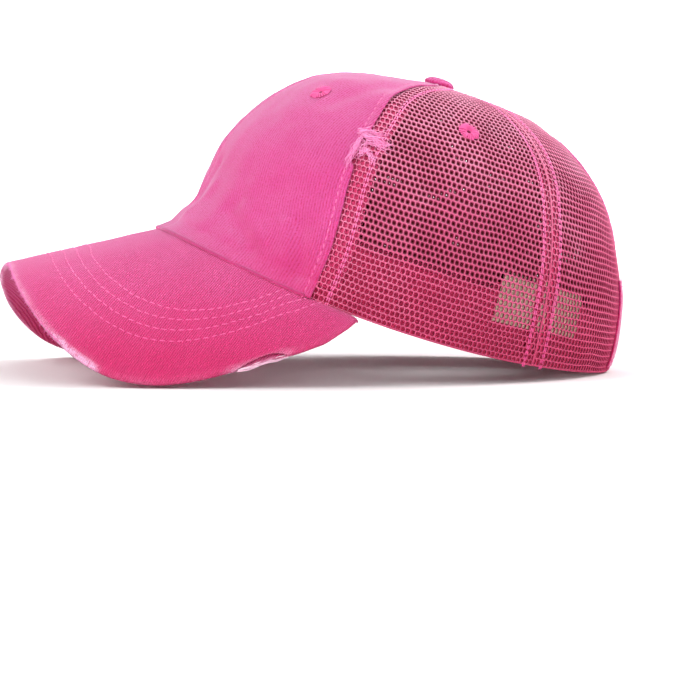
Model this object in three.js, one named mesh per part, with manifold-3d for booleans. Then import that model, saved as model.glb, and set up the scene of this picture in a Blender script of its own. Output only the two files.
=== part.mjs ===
// A mesh-back baseball cap with a high opening at the back. Millimetres, +Z up, bill towards -Y.
// The cap is drawn with its rim near the plane z = 0 and then turned to the pose in which it rests.
import * as THREE from 'three';
import { mergeVertices } from 'three/addons/utils/BufferGeometryUtils.js';
import Module from 'manifold-3d';

const wasm = await Module();
wasm.setup();

// Crown
const RIM_FRONT = 96.5;           // from the crown's axis to the rim at the front
const RIM_BACK = 99.5;
const RIM_SIDE = 79;
const CROWN_HEIGHT = 91;          // from the rim plane to the top
const RIM_DIP = 10.5;             // how far the rim curves down at the sides
const DIP_REACH = 0.72;           // share of the height over which that curve fades out
const TOP_FORWARD = 3.4;          // the seams meet this far in front of the axis
const WALL = 1.2;                 // twill or mesh
const CLEARANCE = 0.3;            // between pieces that are sewn together

// Peak
const PEAK_LENGTH = 64.3;         // along the middle, from the rim to the front edge
const PEAK_PITCH = 29.8;          // degrees below the rim plane
const PEAK_ARC = 95.3;            // radius of the curve from side to side
const PEAK_CURL = 0.22;           // how much tighter that curve gets at the sides
const PEAK_FLARE = 0.295;         // how much deeper it gets at the front edge
const PEAK_END_ANGLE = 76.4;      // where the peak ends on the rim, from the front
const PEAK_OVERHANG = 7.9;        // how far the peak stands out beyond its ends
const PEAK_CLOTH = 1;
const PEAK_BOARD = 1.6;
const BOARD_INSET = 2.5;          // the board stops short of the cloth's edge
const PEAK_SEAM_GAP = 0.5;        // between the crown's rim and the peak's inner edge
const PEAK_COLUMNS = 52;
const PEAK_ROWS = 4;

// Trim
const BAND_TOP = 0.235;           // height of the sweatband, as a share of the climb
const BAND_THICKNESS = 1.2;
const BAND_STAND_OFF = 4.1;       // from the crown's face to the band, above its lower fold
const BAND_FOLD = 0.05;           // share of the climb over which the band leaves the rim
const TAPE_THICKNESS = 1;
const TAPE_BOTTOM = 0.06;
const TAPE_TOP = 0.86;
const FRONT_TAPE_WIDTH = 13;
const FRONT_TAPE_SHIFT = 2.5;     // the front tape lies mostly behind the mesh
const BACK_TAPE_WIDTH = 10.5;
const LABEL_THICKNESS = 1;
const BUTTON_RADIUS = 6.5;
const BUTTON_HEIGHT = 4.2;
const BUTTON_SHANK_RADIUS = 1.6;
const TOP_HOLE = 0.985;           // the panels stop here and the shank passes between them
const CLIMB_STEPS = 13;           // rows of the crown's walls
const EYELET_RADIUS = 3.9;
const EYELET_HOLE_RADIUS = 1;
const EYELET_HEIGHT = 0.9;

// Opening for the hair and its closure
const OPENING_MIDDLE = 0.6;       // share of the climb up the back
const OPENING_REACH = 0.185;      // share of the climb above and below the middle
const OPENING_HALF_WIDTH = 21;
const BINDING_WIDTH = 5;
const BINDING_THICKNESS = 2.2;
const TAB_HALF_WIDTH = 30;
const TAB_THICKNESS = 1.2;
const TAB_BOTTOM = 0.03;
const TAB_TOP = 0.33;

// Level sections of the crown, rim to top: height and reach, as shares of the sizes above.
const CROWN_SECTIONS = [
  { rise: 0.00, front: 1.000, back: 1.000, side: 1.000 },
  { rise: 0.08, front: 0.947, back: 1.003, side: 1.014 },
  { rise: 0.19, front: 0.890, back: 0.991, side: 1.028 },
  { rise: 0.32, front: 0.865, back: 0.964, side: 1.027 },
  { rise: 0.45, front: 0.844, back: 0.915, side: 1.006 },
  { rise: 0.58, front: 0.794, back: 0.853, side: 0.961 },
  { rise: 0.70, front: 0.716, back: 0.786, side: 0.886 },
  { rise: 0.80, front: 0.627, back: 0.700, side: 0.786 },
  { rise: 0.88, front: 0.518, back: 0.598, side: 0.662 },
  { rise: 0.94, front: 0.355, back: 0.482, side: 0.518 },
  { rise: 0.98, front: 0.131, back: 0.359, side: 0.319 },
  { rise: 1.00, front: 0.000, back: 0.000, side: 0.000 },
];

// Seams between the panels, in degrees from the front, at equal steps of the climb.
const SEAMS = [
  { front: 64.0, back: 121.8 },
  { front: 61.0, back: 120.2 },
  { front: 58.6, back: 119.8 },
  { front: 58.0, back: 120.0 },
  { front: 60.0, back: 120.0 },
];

// Outline of the peak from the middle to its end: shares of the end's distance to the side,
// of the overhang and of the reach in front of the ends.
const PEAK_OUTLINE = [
  { side: 0.000, overhang: 0.000, reach: 1.000 },
  { side: 0.313, overhang: 0.313, reach: 0.986 },
  { side: 0.529, overhang: 0.529, reach: 0.939 },
  { side: 0.698, overhang: 0.698, reach: 0.859 },
  { side: 0.838, overhang: 0.838, reach: 0.735 },
  { side: 0.930, overhang: 0.930, reach: 0.578 },
  { side: 0.981, overhang: 0.981, reach: 0.387 },
  { side: 1.000, overhang: 0.890, reach: 0.200 },
  { side: 1.000, overhang: 0.590, reach: 0.070 },
  { side: 1.000, overhang: 0.200, reach: 0.000 },
];

// Soft folds and dents of the worn cloth: the ends of each as an angle and a climb, its half
// width, and its depth, which is negative for a dent.
const FOLDS = [
  { angle: 52, climb: 0.21, toAngle: 57, toClimb: 0.10, halfWidth: 5, depth: -1.2 },
  { angle: 28, climb: 0.19, toAngle: 43, toClimb: 0.05, halfWidth: 6, depth: -1.0 },
  { angle: -9, climb: 0.17, toAngle: 1, toClimb: 0.05, halfWidth: 6, depth: -1.6 },
  { angle: 28, climb: 0.70, toAngle: 60, toClimb: 0.66, halfWidth: 6, depth: 0.9 },
  { angle: 38, climb: 0.60, toAngle: 50, toClimb: 0.74, halfWidth: 5, depth: -0.8 },
  { angle: -50, climb: 0.25, toAngle: -54, toClimb: 0.08, halfWidth: 6, depth: -1.2 },
  { angle: -24, climb: 0.72, toAngle: -52, toClimb: 0.64, halfWidth: 7, depth: 0.8 },
];

// Worn gaps in the edge of the peak's upper cloth: where along the edge, half width and depth.
const TORN_EDGES = [
  { along: 0.74, halfWidth: 0.04, depth: 4.5 },
];

const EYELETS = [
  { name: 'front', angle: 28.5, climb: 0.62 },
  { name: 'side', angle: 91, climb: 0.643 },
];

const SIDES = { left: 1, right: -1 };

const FINISH = {
  twill: { color: 0xf062a8, roughness: 0.9, metalness: 0 },
  mesh: { color: 0xe2588f, roughness: 0.75, metalness: 0 },
  tape: { color: 0xd8407e, roughness: 0.9, metalness: 0 },
  band: { color: 0xd9457f, roughness: 0.95, metalness: 0 },
  board: { color: 0xc23a66, roughness: 0.8, metalness: 0 },
  thread: { color: 0xf58cbc, roughness: 0.6, metalness: 0 },
  label: { color: 0xd9c2b4, roughness: 0.8, metalness: 0 },
};

const radians = THREE.MathUtils.degToRad;
const mix = THREE.MathUtils.lerp;

// A smooth curve through the rows of a table, read at a share from 0 to 1.
function readTable(rows, column, share) {
  const at = THREE.MathUtils.clamp(share, 0, 1) * (rows.length - 1);
  const row = Math.min(Math.floor(at), rows.length - 2);
  const t = at - row;
  const value = (i) => {
    if (i < 0) return 2 * rows[0][column] - rows[1][column];
    if (i < rows.length) return rows[i][column];
    return 2 * rows[rows.length - 1][column] - rows[rows.length - 2][column];
  };
  const [a, b, c, d] = [value(row - 1), value(row), value(row + 1), value(row + 2)];
  return b + 0.5 * t * (c - a + t * (2 * a - 5 * b + 4 * c - d + t * (3 * (b - c) + d - a)));
}

// The crown's face without its folds: an angle from the front and a climb from rim to top.
function smoothCrown(angle, climb) {
  const rise = readTable(CROWN_SECTIONS, 'rise', climb);
  const cos = Math.cos(radians(angle));
  const sin = Math.sin(radians(angle));
  const [end, reach] = cos > 0 ? ['front', RIM_FRONT] : ['back', RIM_BACK];
  const dip = RIM_DIP * sin * sin * Math.max(0, 1 - rise / DIP_REACH) ** 2;
  return new THREE.Vector3(
    readTable(CROWN_SECTIONS, 'side', climb) * RIM_SIDE * sin,
    -readTable(CROWN_SECTIONS, end, climb) * reach * cos - TOP_FORWARD * climb ** 3,
    rise * CROWN_HEIGHT - dip,
  );
}

function crownNormal(angle, climb) {
  const turn = 0.5;
  const step = 0.004;
  const across = smoothCrown(angle + turn, climb).sub(smoothCrown(angle - turn, climb));
  const up = smoothCrown(angle, Math.min(climb + step, 1));
  up.sub(smoothCrown(angle, Math.max(climb - step, 0)));
  return across.cross(up).normalize();
}

// Degrees that span a length along the level line through a point of the crown.
function degreesFor(length, angle, climb) {
  const turn = 0.5;
  const step = smoothCrown(angle + turn, climb).distanceTo(smoothCrown(angle - turn, climb));
  return (length * 2 * turn) / Math.max(step, 0.05);
}

function foldDepth(point) {
  let depth = 0;
  for (const fold of FOLDS) {
    const from = smoothCrown(fold.angle, fold.climb);
    const line = new THREE.Line3(from, smoothCrown(fold.toAngle, fold.toClimb));
    const near = line.closestPointToPoint(point, true, new THREE.Vector3());
    depth += fold.depth * Math.exp(-((near.distanceTo(point) / fold.halfWidth) ** 2));
  }
  return depth;
}

function crownPoint(angle, climb, outwards) {
  const point = smoothCrown(angle, climb);
  return point.clone().addScaledVector(crownNormal(angle, climb), outwards + foldDepth(point));
}

// Height of the peak's curved face over a point of the rim plane.
function peakHeight(x, y) {
  const arc = PEAK_ARC - Math.sqrt(Math.max(PEAK_ARC ** 2 - x * x, 1));
  const curl = 1 + PEAK_CURL * (x / RIM_SIDE) ** 2;
  const flare = 1 + (PEAK_FLARE * (-y - RIM_FRONT)) / PEAK_LENGTH;
  const pitch = radians(PEAK_PITCH);
  return (RIM_FRONT + y) * Math.tan(pitch) - (arc * curl * flare) / Math.cos(pitch);
}

// The peak's upper face: along runs from -1 to 1 between its ends, out from 0 at the rim to 1.
function peakFace(along, out) {
  const rim = smoothCrown(PEAK_END_ANGLE * along, 0);
  const end = smoothCrown(PEAK_END_ANGLE, 0);
  const share = Math.abs(along);
  const side = readTable(PEAK_OUTLINE, 'side', share) * end.x;
  const overhang = readTable(PEAK_OUTLINE, 'overhang', share) * PEAK_OVERHANG;
  const reach = RIM_FRONT + PEAK_LENGTH * Math.cos(radians(PEAK_PITCH)) + end.y;
  const edgeX = Math.sign(along) * (side + overhang);
  const edgeY = end.y - readTable(PEAK_OUTLINE, 'reach', share) * reach;
  const x = mix(rim.x, edgeX, out);
  const y = mix(rim.y, edgeY, out);
  const hold = 1 - out * (1 - share ** 8);
  return new THREE.Vector3(x, y, peakHeight(x, y) + hold * (rim.z - peakHeight(rim.x, rim.y)));
}

function peakPoint(along, out, downwards) {
  const step = 0.01;
  const across = peakFace(Math.min(along + step, 1), out);
  across.sub(peakFace(Math.max(along - step, -1), out));
  const forwards = peakFace(along, out + step).sub(peakFace(along, out - step));
  const down = across.cross(forwards).normalize();
  return peakFace(along, out).addScaledVector(down, downwards);
}

// A layer of the peak at a depth below its upper face. All layers share their rows and columns,
// and only the last row of one that is inset stops short of the outer edge.
function peakLayer(depth, thickness, insetAt) {
  return closedShell(PEAK_COLUMNS, PEAK_ROWS, (s, t, face) => {
    const along = mix(-1, 1, s);
    const width = peakFace(along, 0).distanceTo(peakFace(along, 1));
    const first = PEAK_SEAM_GAP / width;
    const beforeLast = mix(first, 1, 1 - 0.8 / PEAK_ROWS);
    const out = t < 1 ? mix(first, 1, t) : Math.max(1 - insetAt(along) / width, beforeLast);
    return peakPoint(along, out, depth + face * thickness);
  });
}

// A closed body between two faces, each a grid of points. A ring joins its last column to its first.
function closedShell(columns, rows, pointAt, isRing = false) {
  const count = isRing ? columns : columns + 1;
  const positions = [];
  const triangles = [];
  const index = (face, i, j) => (face * (rows + 1) + j) * count + (i % count);
  for (const face of [0, 1]) {
    for (let j = 0; j <= rows; j += 1) {
      for (let i = 0; i < count; i += 1) {
        positions.push(...pointAt(i / columns, j / rows, face).toArray());
      }
    }
  }
  const quad = (a, b, c, d) => triangles.push(a, b, c, a, c, d);
  for (let i = 0; i < columns; i += 1) {
    for (let j = 0; j < rows; j += 1) {
      quad(index(0, i, j), index(0, i + 1, j), index(0, i + 1, j + 1), index(0, i, j + 1));
      quad(index(1, i, j), index(1, i, j + 1), index(1, i + 1, j + 1), index(1, i + 1, j));
    }
    quad(index(1, i, 0), index(1, i + 1, 0), index(0, i + 1, 0), index(0, i, 0));
    quad(index(0, i, rows), index(0, i + 1, rows), index(1, i + 1, rows), index(1, i, rows));
  }
  for (let j = 0; j < rows && !isRing; j += 1) {
    quad(index(0, 0, j), index(0, 0, j + 1), index(1, 0, j + 1), index(1, 0, j));
    quad(index(1, columns, j), index(1, columns, j + 1), index(0, columns, j + 1), index(0, columns, j));
  }
  return facingOut(positions, triangles);
}

function facingOut(positions, triangles) {
  const corner = (k) => new THREE.Vector3().fromArray(positions, triangles[k] * 3);
  let volume = 0;
  for (let k = 0; k < triangles.length; k += 3) {
    volume += corner(k).dot(corner(k + 1).cross(corner(k + 2)));
  }
  const geometry = new THREE.BufferGeometry();
  geometry.setAttribute('position', new THREE.Float32BufferAttribute(positions, 3));
  geometry.setIndex(volume < 0 ? triangles.toReversed() : triangles);
  return geometry;
}

function toSolid(geometry) {
  const bare = geometry.clone();
  bare.deleteAttribute('normal');
  bare.deleteAttribute('uv');
  const merged = mergeVertices(bare, 1e-5);
  return new wasm.Manifold(new wasm.Mesh({
    numProp: 3,
    vertProperties: merged.attributes.position.array,
    triVerts: new Uint32Array(merged.index.array),
  }));
}

function cutAway(geometry, tools) {
  let solid = toSolid(geometry);
  for (const tool of tools) solid = solid.subtract(toSolid(tool));
  const mesh = solid.getMesh();
  const result = new THREE.BufferGeometry();
  result.setAttribute('position', new THREE.BufferAttribute(mesh.vertProperties, 3));
  result.setIndex(new THREE.BufferAttribute(mesh.triVerts, 1));
  return result;
}

const cap = new THREE.Group();

function addPiece(name, geometry, finish) {
  const mesh = new THREE.Mesh(geometry, new THREE.MeshStandardMaterial(FINISH[finish]));
  mesh.name = name;
  geometry.computeVertexNormals();
  cap.add(mesh);
  return mesh;
}

// The climbs at which a wall has its rows. Walls that lie on each other share them, so they don't touch.
function levels(bottom, top) {
  const shared = Array.from({ length: CLIMB_STEPS + 1 }, (_, i) => (TOP_HOLE * i) / CLIMB_STEPS);
  const apart = 0.01;
  return [bottom, ...shared.filter((climb) => climb > bottom + apart && climb < top - apart), top];
}

// A wall of the crown between two angles that may change with the climb.
function crownWall(columns, fromAngle, toAngle, bottom, top, outwards, thickness, isRing = false) {
  const climbs = levels(bottom, top);
  const rows = climbs.length - 1;
  return closedShell(columns, rows, (s, t, face) => {
    const climb = climbs[Math.round(t * rows)];
    const angle = mix(fromAngle(climb), toAngle(climb), s);
    const out = typeof outwards === 'function' ? outwards(climb) : outwards;
    return crownPoint(angle, climb, out - face * thickness);
  }, isRing);
}

const seamAngle = (seam, side, shift) => (climb) => {
  const angle = readTable(SEAMS, seam, climb);
  return side * (angle + degreesFor(shift, angle, climb));
};
const centreAngle = (angle, side) => (climb) => {
  return side * (angle - Math.sign(angle - 90) * degreesFor(CLEARANCE / 2, angle, climb));
};

// The oval of the opening on the crown: a turn round it, a share of its width there, and a width
// added to its outline.
function openingPoint(turn, share, grow, outwards) {
  const rise = smoothCrown(180, OPENING_MIDDLE + OPENING_REACH);
  const halfHeight = rise.distanceTo(smoothCrown(180, OPENING_MIDDLE - OPENING_REACH)) / 2;
  const reach = OPENING_REACH * (1 + grow / halfHeight);
  const climb = OPENING_MIDDLE + reach * Math.cos(turn);
  const width = share * (OPENING_HALF_WIDTH + grow) * Math.sin(turn);
  return crownPoint(180 - degreesFor(width, 180, climb), climb, outwards);
}

function openingPlug() {
  const depth = 8;
  return closedShell(4, 24, (s, t, face) => {
    const turn = Math.PI * mix(0.02, 0.98, t);
    return openingPoint(turn, mix(-1, 1, s), BINDING_WIDTH + CLEARANCE, depth * (0.5 - face));
  });
}

function eyeletFrame(eyelet, side, outwards) {
  const place = new THREE.Object3D();
  place.position.copy(crownPoint(side * eyelet.angle, eyelet.climb, outwards));
  const normal = crownNormal(side * eyelet.angle, eyelet.climb);
  place.quaternion.setFromUnitVectors(new THREE.Vector3(0, 1, 0), normal);
  place.updateMatrix();
  return place.matrix;
}

function eyeletDrill(eyelet, side) {
  const drill = new THREE.CylinderGeometry(EYELET_HOLE_RADIUS, EYELET_HOLE_RADIUS, 6, 10);
  return drill.applyMatrix4(eyeletFrame(eyelet, side, 0));
}

function eyeletRing(eyelet, side) {
  const edge = EYELET_HEIGHT * 0.4;
  const profile = [
    [EYELET_HOLE_RADIUS, 0],
    [EYELET_RADIUS, 0],
    [EYELET_RADIUS, edge],
    [EYELET_RADIUS * 0.75, EYELET_HEIGHT],
    [EYELET_HOLE_RADIUS * 1.5, EYELET_HEIGHT],
    [EYELET_HOLE_RADIUS, edge],
    [EYELET_HOLE_RADIUS, 0],
  ].map(([x, y]) => new THREE.Vector2(x, y));
  const ring = new THREE.LatheGeometry(profile, 16);
  return ring.applyMatrix4(eyeletFrame(eyelet, side, CLEARANCE + 0.1));
}

function plainLathe(geometry) {
  geometry.deleteAttribute('normal');
  geometry.deleteAttribute('uv');
  return mergeVertices(geometry, 1e-4);
}

function addPanels(sideName, side) {
  const half = CLEARANCE / 2;
  const wall = (columns, from, to) => crownWall(columns, from, to, 0, TOP_HOLE, 0, WALL);
  const front = wall(13, centreAngle(0, side), seamAngle('front', side, -half));
  const drilled = cutAway(front, [eyeletDrill(EYELETS[0], side)]);
  addPiece(`front_panel_${sideName}`, drilled, 'twill');
  const middle = wall(12, seamAngle('front', side, half), seamAngle('back', side, -half));
  addPiece(`side_mesh_${sideName}`, cutAway(middle, [eyeletDrill(EYELETS[1], side)]), 'mesh');
  const back = wall(12, seamAngle('back', side, half), centreAngle(180, side));
  addPiece(`back_mesh_${sideName}`, cutAway(back, [openingPlug()]), 'mesh');
}

function addTapes(sideName, side) {
  const widths = { front: FRONT_TAPE_WIDTH, back: BACK_TAPE_WIDTH };
  const shifts = { front: FRONT_TAPE_SHIFT, back: 0 };
  for (const seam of Object.keys(widths)) {
    const from = seamAngle(seam, side, shifts[seam] - widths[seam] / 2);
    const to = seamAngle(seam, side, shifts[seam] + widths[seam] / 2);
    const inside = -WALL - CLEARANCE;
    const tape = crownWall(3, from, to, TAPE_BOTTOM, TAPE_TOP, inside, TAPE_THICKNESS);
    addPiece(`${seam}_seam_tape_${sideName}`, tape, 'tape');
  }
}

function addEyelets(sideName, side) {
  for (const eyelet of EYELETS) {
    addPiece(`${eyelet.name}_eyelet_${sideName}`, plainLathe(eyeletRing(eyelet, side)), 'thread');
  }
}

function addSweatband() {
  const outwards = (climb) => {
    const lift = THREE.MathUtils.smoothstep(climb, 0, BAND_FOLD);
    return mix(-WALL - CLEARANCE, -BAND_STAND_OFF, lift);
  };
  const turn = (angle) => () => angle;
  const band = crownWall(48, turn(-180), turn(180), 0, BAND_TOP, outwards, BAND_THICKNESS, true);
  addPiece('sweatband', band, 'band');
}

function addLabel() {
  const inside = -WALL - 2 * CLEARANCE - TAPE_THICKNESS;
  const label = { from: 107, to: 134, bottom: 0.13, top: 0.275 };
  const edge = (angle) => () => angle;
  const patch = crownWall(5, edge(label.from), edge(label.to), label.bottom, label.top, inside,
    LABEL_THICKNESS);
  addPiece('label', patch, 'label');
}

function addOpening() {
  const binding = closedShell(36, 1, (s, t, face) => {
    const middle = (BINDING_THICKNESS - WALL) / 2;
    return openingPoint(2 * Math.PI * s, 1, t * BINDING_WIDTH, middle - face * BINDING_THICKNESS);
  }, true);
  addPiece('opening_binding', binding, 'twill');
  const edge = (side) => (climb) => 180 + side * degreesFor(TAB_HALF_WIDTH, 180, climb);
  const face = CLEARANCE + TAB_THICKNESS;
  const tab = crownWall(10, edge(-1), edge(1), TAB_BOTTOM, TAB_TOP, face, TAB_THICKNESS);
  addPiece('closure_tab', tab, 'twill');
}

function addPeak() {
  const tear = (along) => {
    return TORN_EDGES.reduce((sum, gap) => {
      return sum + gap.depth * Math.max(0, 1 - Math.abs(along - gap.along) / gap.halfWidth);
    }, 0);
  };
  const board = PEAK_CLOTH + CLEARANCE;
  const under = board + PEAK_BOARD + CLEARANCE;
  addPiece('peak_upper_cloth', peakLayer(0, PEAK_CLOTH, tear), 'twill');
  addPiece('peak_board', peakLayer(board, PEAK_BOARD, () => BOARD_INSET), 'board');
  addPiece('peak_under_cloth', peakLayer(under, PEAK_CLOTH, () => 0), 'twill');
}

function addButton() {
  const seat = CLEARANCE;
  const profile = [
    [0, -2.4],
    [BUTTON_SHANK_RADIUS, -2.4],
    [BUTTON_SHANK_RADIUS, seat],
    [BUTTON_RADIUS * 0.92, seat],
    [BUTTON_RADIUS, seat + BUTTON_HEIGHT * 0.3],
    [BUTTON_RADIUS * 0.86, seat + BUTTON_HEIGHT * 0.68],
    [BUTTON_RADIUS * 0.5, seat + BUTTON_HEIGHT * 0.93],
    [0, seat + BUTTON_HEIGHT],
  ].map(([x, y]) => new THREE.Vector2(x, y));
  const button = plainLathe(new THREE.LatheGeometry(profile, 20));
  button.rotateX(Math.PI / 2);
  button.translate(0, -TOP_FORWARD, CROWN_HEIGHT);
  addPiece('button', button, 'twill');
}

for (const [sideName, side] of Object.entries(SIDES)) {
  addPanels(sideName, side);
  addTapes(sideName, side);
  addEyelets(sideName, side);
}
addSweatband();
addLabel();
addOpening();
addPeak();
addButton();

// The cap rests on the low sides of its peak and on the back of its rim: the turn about X at
// which the lowest points in front of and behind the axis are level.
function restingTurn() {
  const points = [];
  for (const mesh of cap.children) {
    const position = mesh.geometry.attributes.position;
    for (let i = 0; i < position.count; i += 1) points.push([position.getY(i), position.getZ(i)]);
  }
  const lowest = (turn, end) => points.reduce((low, [y, z]) => {
    return y * end > 0 ? Math.min(low, y * Math.sin(turn) + z * Math.cos(turn)) : low;
  }, Infinity);
  let [less, more] = [-Math.PI / 3, 0];
  for (let step = 0; step < 50; step += 1) {
    const middle = (less + more) / 2;
    if (lowest(middle, -1) > lowest(middle, 1)) less = middle;
    else more = middle;
  }
  return more;
}

const part = new THREE.Group();
part.add(cap);
cap.rotation.x = restingTurn();
cap.updateMatrixWorld(true);
const box = new THREE.Box3().setFromObject(cap, true);
cap.position.set(-(box.min.x + box.max.x) / 2, -(box.min.y + box.max.y) / 2, -box.min.z);

export default part;
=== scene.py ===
import math

import bpy
import numpy as np
from mathutils import Matrix, Vector, noise


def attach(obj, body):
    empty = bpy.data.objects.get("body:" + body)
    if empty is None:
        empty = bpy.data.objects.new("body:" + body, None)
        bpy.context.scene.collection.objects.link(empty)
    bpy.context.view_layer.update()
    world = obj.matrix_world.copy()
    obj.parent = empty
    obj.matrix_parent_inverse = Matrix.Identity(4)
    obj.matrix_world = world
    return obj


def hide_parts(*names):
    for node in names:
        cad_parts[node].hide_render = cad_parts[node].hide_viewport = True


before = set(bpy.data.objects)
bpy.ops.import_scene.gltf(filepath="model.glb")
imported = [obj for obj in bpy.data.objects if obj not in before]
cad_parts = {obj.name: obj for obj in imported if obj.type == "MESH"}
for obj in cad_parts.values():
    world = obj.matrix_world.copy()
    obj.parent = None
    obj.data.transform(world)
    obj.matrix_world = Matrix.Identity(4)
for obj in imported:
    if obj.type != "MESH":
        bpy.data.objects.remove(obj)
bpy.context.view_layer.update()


# The cap lies on the low sides of its peak and the back of its rim, as it does when put down.
# The camera looks at its left side, from a little in front of square and a little above, from
# far off with a long lens, so that the cap hardly tapers.
REST_TURN = math.radians(-17.3536)
REST_PLACE = Vector((0, 0.0267144, 0.0296776))
VIEW_AZIMUTH = math.radians(78.42)
VIEW_RISE = math.radians(4.59)
VIEW_LEAN = math.radians(0.526)
VIEW_DISTANCE = 1.6
FRAME_PIXELS = 700
PIXELS_PER_METRE = 2422
AXIS_PIXEL = (380.2, 298.1)
SENSOR_MM = 36

lean = Matrix.Rotation(VIEW_LEAN, 3, "X")
backward = lean @ Vector((
    math.sin(VIEW_AZIMUTH) * math.cos(VIEW_RISE),
    -math.cos(VIEW_AZIMUTH) * math.cos(VIEW_RISE),
    math.sin(VIEW_RISE),
))
rightward = lean @ Vector((math.cos(VIEW_AZIMUTH), math.sin(VIEW_AZIMUTH), 0))
upward = backward.cross(rightward)
off_centre = [(pixel - FRAME_PIXELS / 2) / PIXELS_PER_METRE for pixel in AXIS_PIXEL]

camera = bpy.data.objects.new("camera", bpy.data.cameras.new("camera"))
camera.data.sensor_width = SENSOR_MM
camera.data.lens = PIXELS_PER_METRE * VIEW_DISTANCE / FRAME_PIXELS * SENSOR_MM
camera.data.clip_end = 60
stand = REST_PLACE + backward * VIEW_DISTANCE - rightward * off_centre[0] + upward * off_centre[1]
turn = Matrix((rightward, upward, backward)).transposed().to_4x4()
camera.matrix_world = Matrix.Translation(stand) @ turn
bpy.context.scene.collection.objects.link(camera)
bpy.context.scene.camera = camera


# Front panels: two shaped pieces of washed cotton twill, cut on the straight grain and sewn down
# the middle of the forehead. Washing has left them soft, with shallow folds; their tops are paler by a
# painted highlight.
# Their back edges are turned under and lie over the net.
RIM_FRONT, RIM_BACK, RIM_SIDE = 96.5, 99.5, 79.0        # mm from the crown's axis
CROWN_HEIGHT = 91.0
RIM_DIP = 10.5
DIP_REACH = 0.72
TOP_FORWARD = 3.4
PANEL_TOP = 0.985
TWILL_THICKNESS = 0.9
TWILL_STEP = 1.2
SEAM_GAP = 0.15
TWILL_PROUD = 0.25              # the turned edges stand above the net's face
HEM_PUFF = 0.35
TOPSTITCH = 3.3                 # mm from the turned edge
SEAM_TEAR = dict(climb=0.458, half_height=0.052, depth=3.4)
CENTRE_STITCH = 1.9

CROWN_SECTIONS = [
    dict(rise=0.00, front=1.000, back=1.000, side=1.000),
    dict(rise=0.08, front=0.947, back=1.003, side=1.014),
    dict(rise=0.19, front=0.890, back=0.991, side=1.028),
    dict(rise=0.32, front=0.865, back=0.964, side=1.027),
    dict(rise=0.45, front=0.844, back=0.915, side=1.006),
    dict(rise=0.58, front=0.794, back=0.853, side=0.961),
    dict(rise=0.70, front=0.716, back=0.786, side=0.886),
    dict(rise=0.80, front=0.627, back=0.700, side=0.786),
    dict(rise=0.88, front=0.518, back=0.598, side=0.662),
    dict(rise=0.94, front=0.355, back=0.482, side=0.518),
    dict(rise=0.98, front=0.131, back=0.359, side=0.319),
    dict(rise=1.00, front=0.000, back=0.000, side=0.000),
]
SEAMS = [
    dict(front=64.0, back=121.8),
    dict(front=61.0, back=120.2),
    dict(front=58.6, back=119.8),
    dict(front=58.0, back=120.0),
    dict(front=60.0, back=120.0),
]
FOLDS = [
    dict(angle=52, climb=0.21, to_angle=57, to_climb=0.10, half_width=5, depth=-1.2),
    dict(angle=28, climb=0.19, to_angle=43, to_climb=0.05, half_width=6, depth=-1.0),
    dict(angle=-9, climb=0.17, to_angle=1, to_climb=0.05, half_width=6, depth=-1.6),
    dict(angle=28, climb=0.70, to_angle=60, to_climb=0.66, half_width=6, depth=0.9),
    dict(angle=38, climb=0.60, to_angle=50, to_climb=0.74, half_width=5, depth=-0.8),
    dict(angle=-50, climb=0.25, to_angle=-54, to_climb=0.08, half_width=6, depth=-1.2),
    dict(angle=-24, climb=0.72, to_angle=-52, to_climb=0.64, half_width=7, depth=0.8),
]
CREASES = [
    dict(angle=6, climb=0.30, to_angle=3, to_climb=0.17, half_width=2.6, depth=-0.85),
    dict(angle=11, climb=0.24, to_angle=7, to_climb=0.12, half_width=3.0, depth=0.78),
    dict(angle=24, climb=0.17, to_angle=42, to_climb=0.09, half_width=2.8, depth=-1.08),
    dict(angle=30, climb=0.20, to_angle=44, to_climb=0.13, half_width=3.0, depth=0.78),
    dict(angle=50, climb=0.22, to_angle=58, to_climb=0.07, half_width=2.4, depth=-1.16),
    dict(angle=46, climb=0.20, to_angle=54, to_climb=0.06, half_width=2.6, depth=0.78),
    dict(angle=14, climb=0.52, to_angle=26, to_climb=0.44, half_width=3.6, depth=-0.46),
    dict(angle=34, climb=0.46, to_angle=46, to_climb=0.36, half_width=4.0, depth=0.46),
    dict(angle=-14, climb=0.22, to_angle=-22, to_climb=0.09, half_width=2.6, depth=-0.93),
    dict(angle=-32, climb=0.16, to_angle=-46, to_climb=0.10, half_width=3.0, depth=-0.93),
    dict(angle=-36, climb=0.48, to_angle=-24, to_climb=0.38, half_width=4.0, depth=0.46),
]


def read(rows, column, share):
    """A smooth curve through one column of a table, read at shares from 0 to 1."""
    knots = np.array([row[column] for row in rows], float)
    knots = np.concatenate([[2 * knots[0] - knots[1]], knots, [2 * knots[-1] - knots[-2]]])
    at = np.clip(share, 0, 1) * (len(rows) - 1)
    row = np.minimum(np.floor(at).astype(int), len(rows) - 2)
    t = at - row
    a, b, c, d = knots[row], knots[row + 1], knots[row + 2], knots[row + 3]
    return b + 0.5 * t * (c - a + t * (2 * a - 5 * b + 4 * c - d + t * (3 * (b - c) + d - a)))


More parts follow.
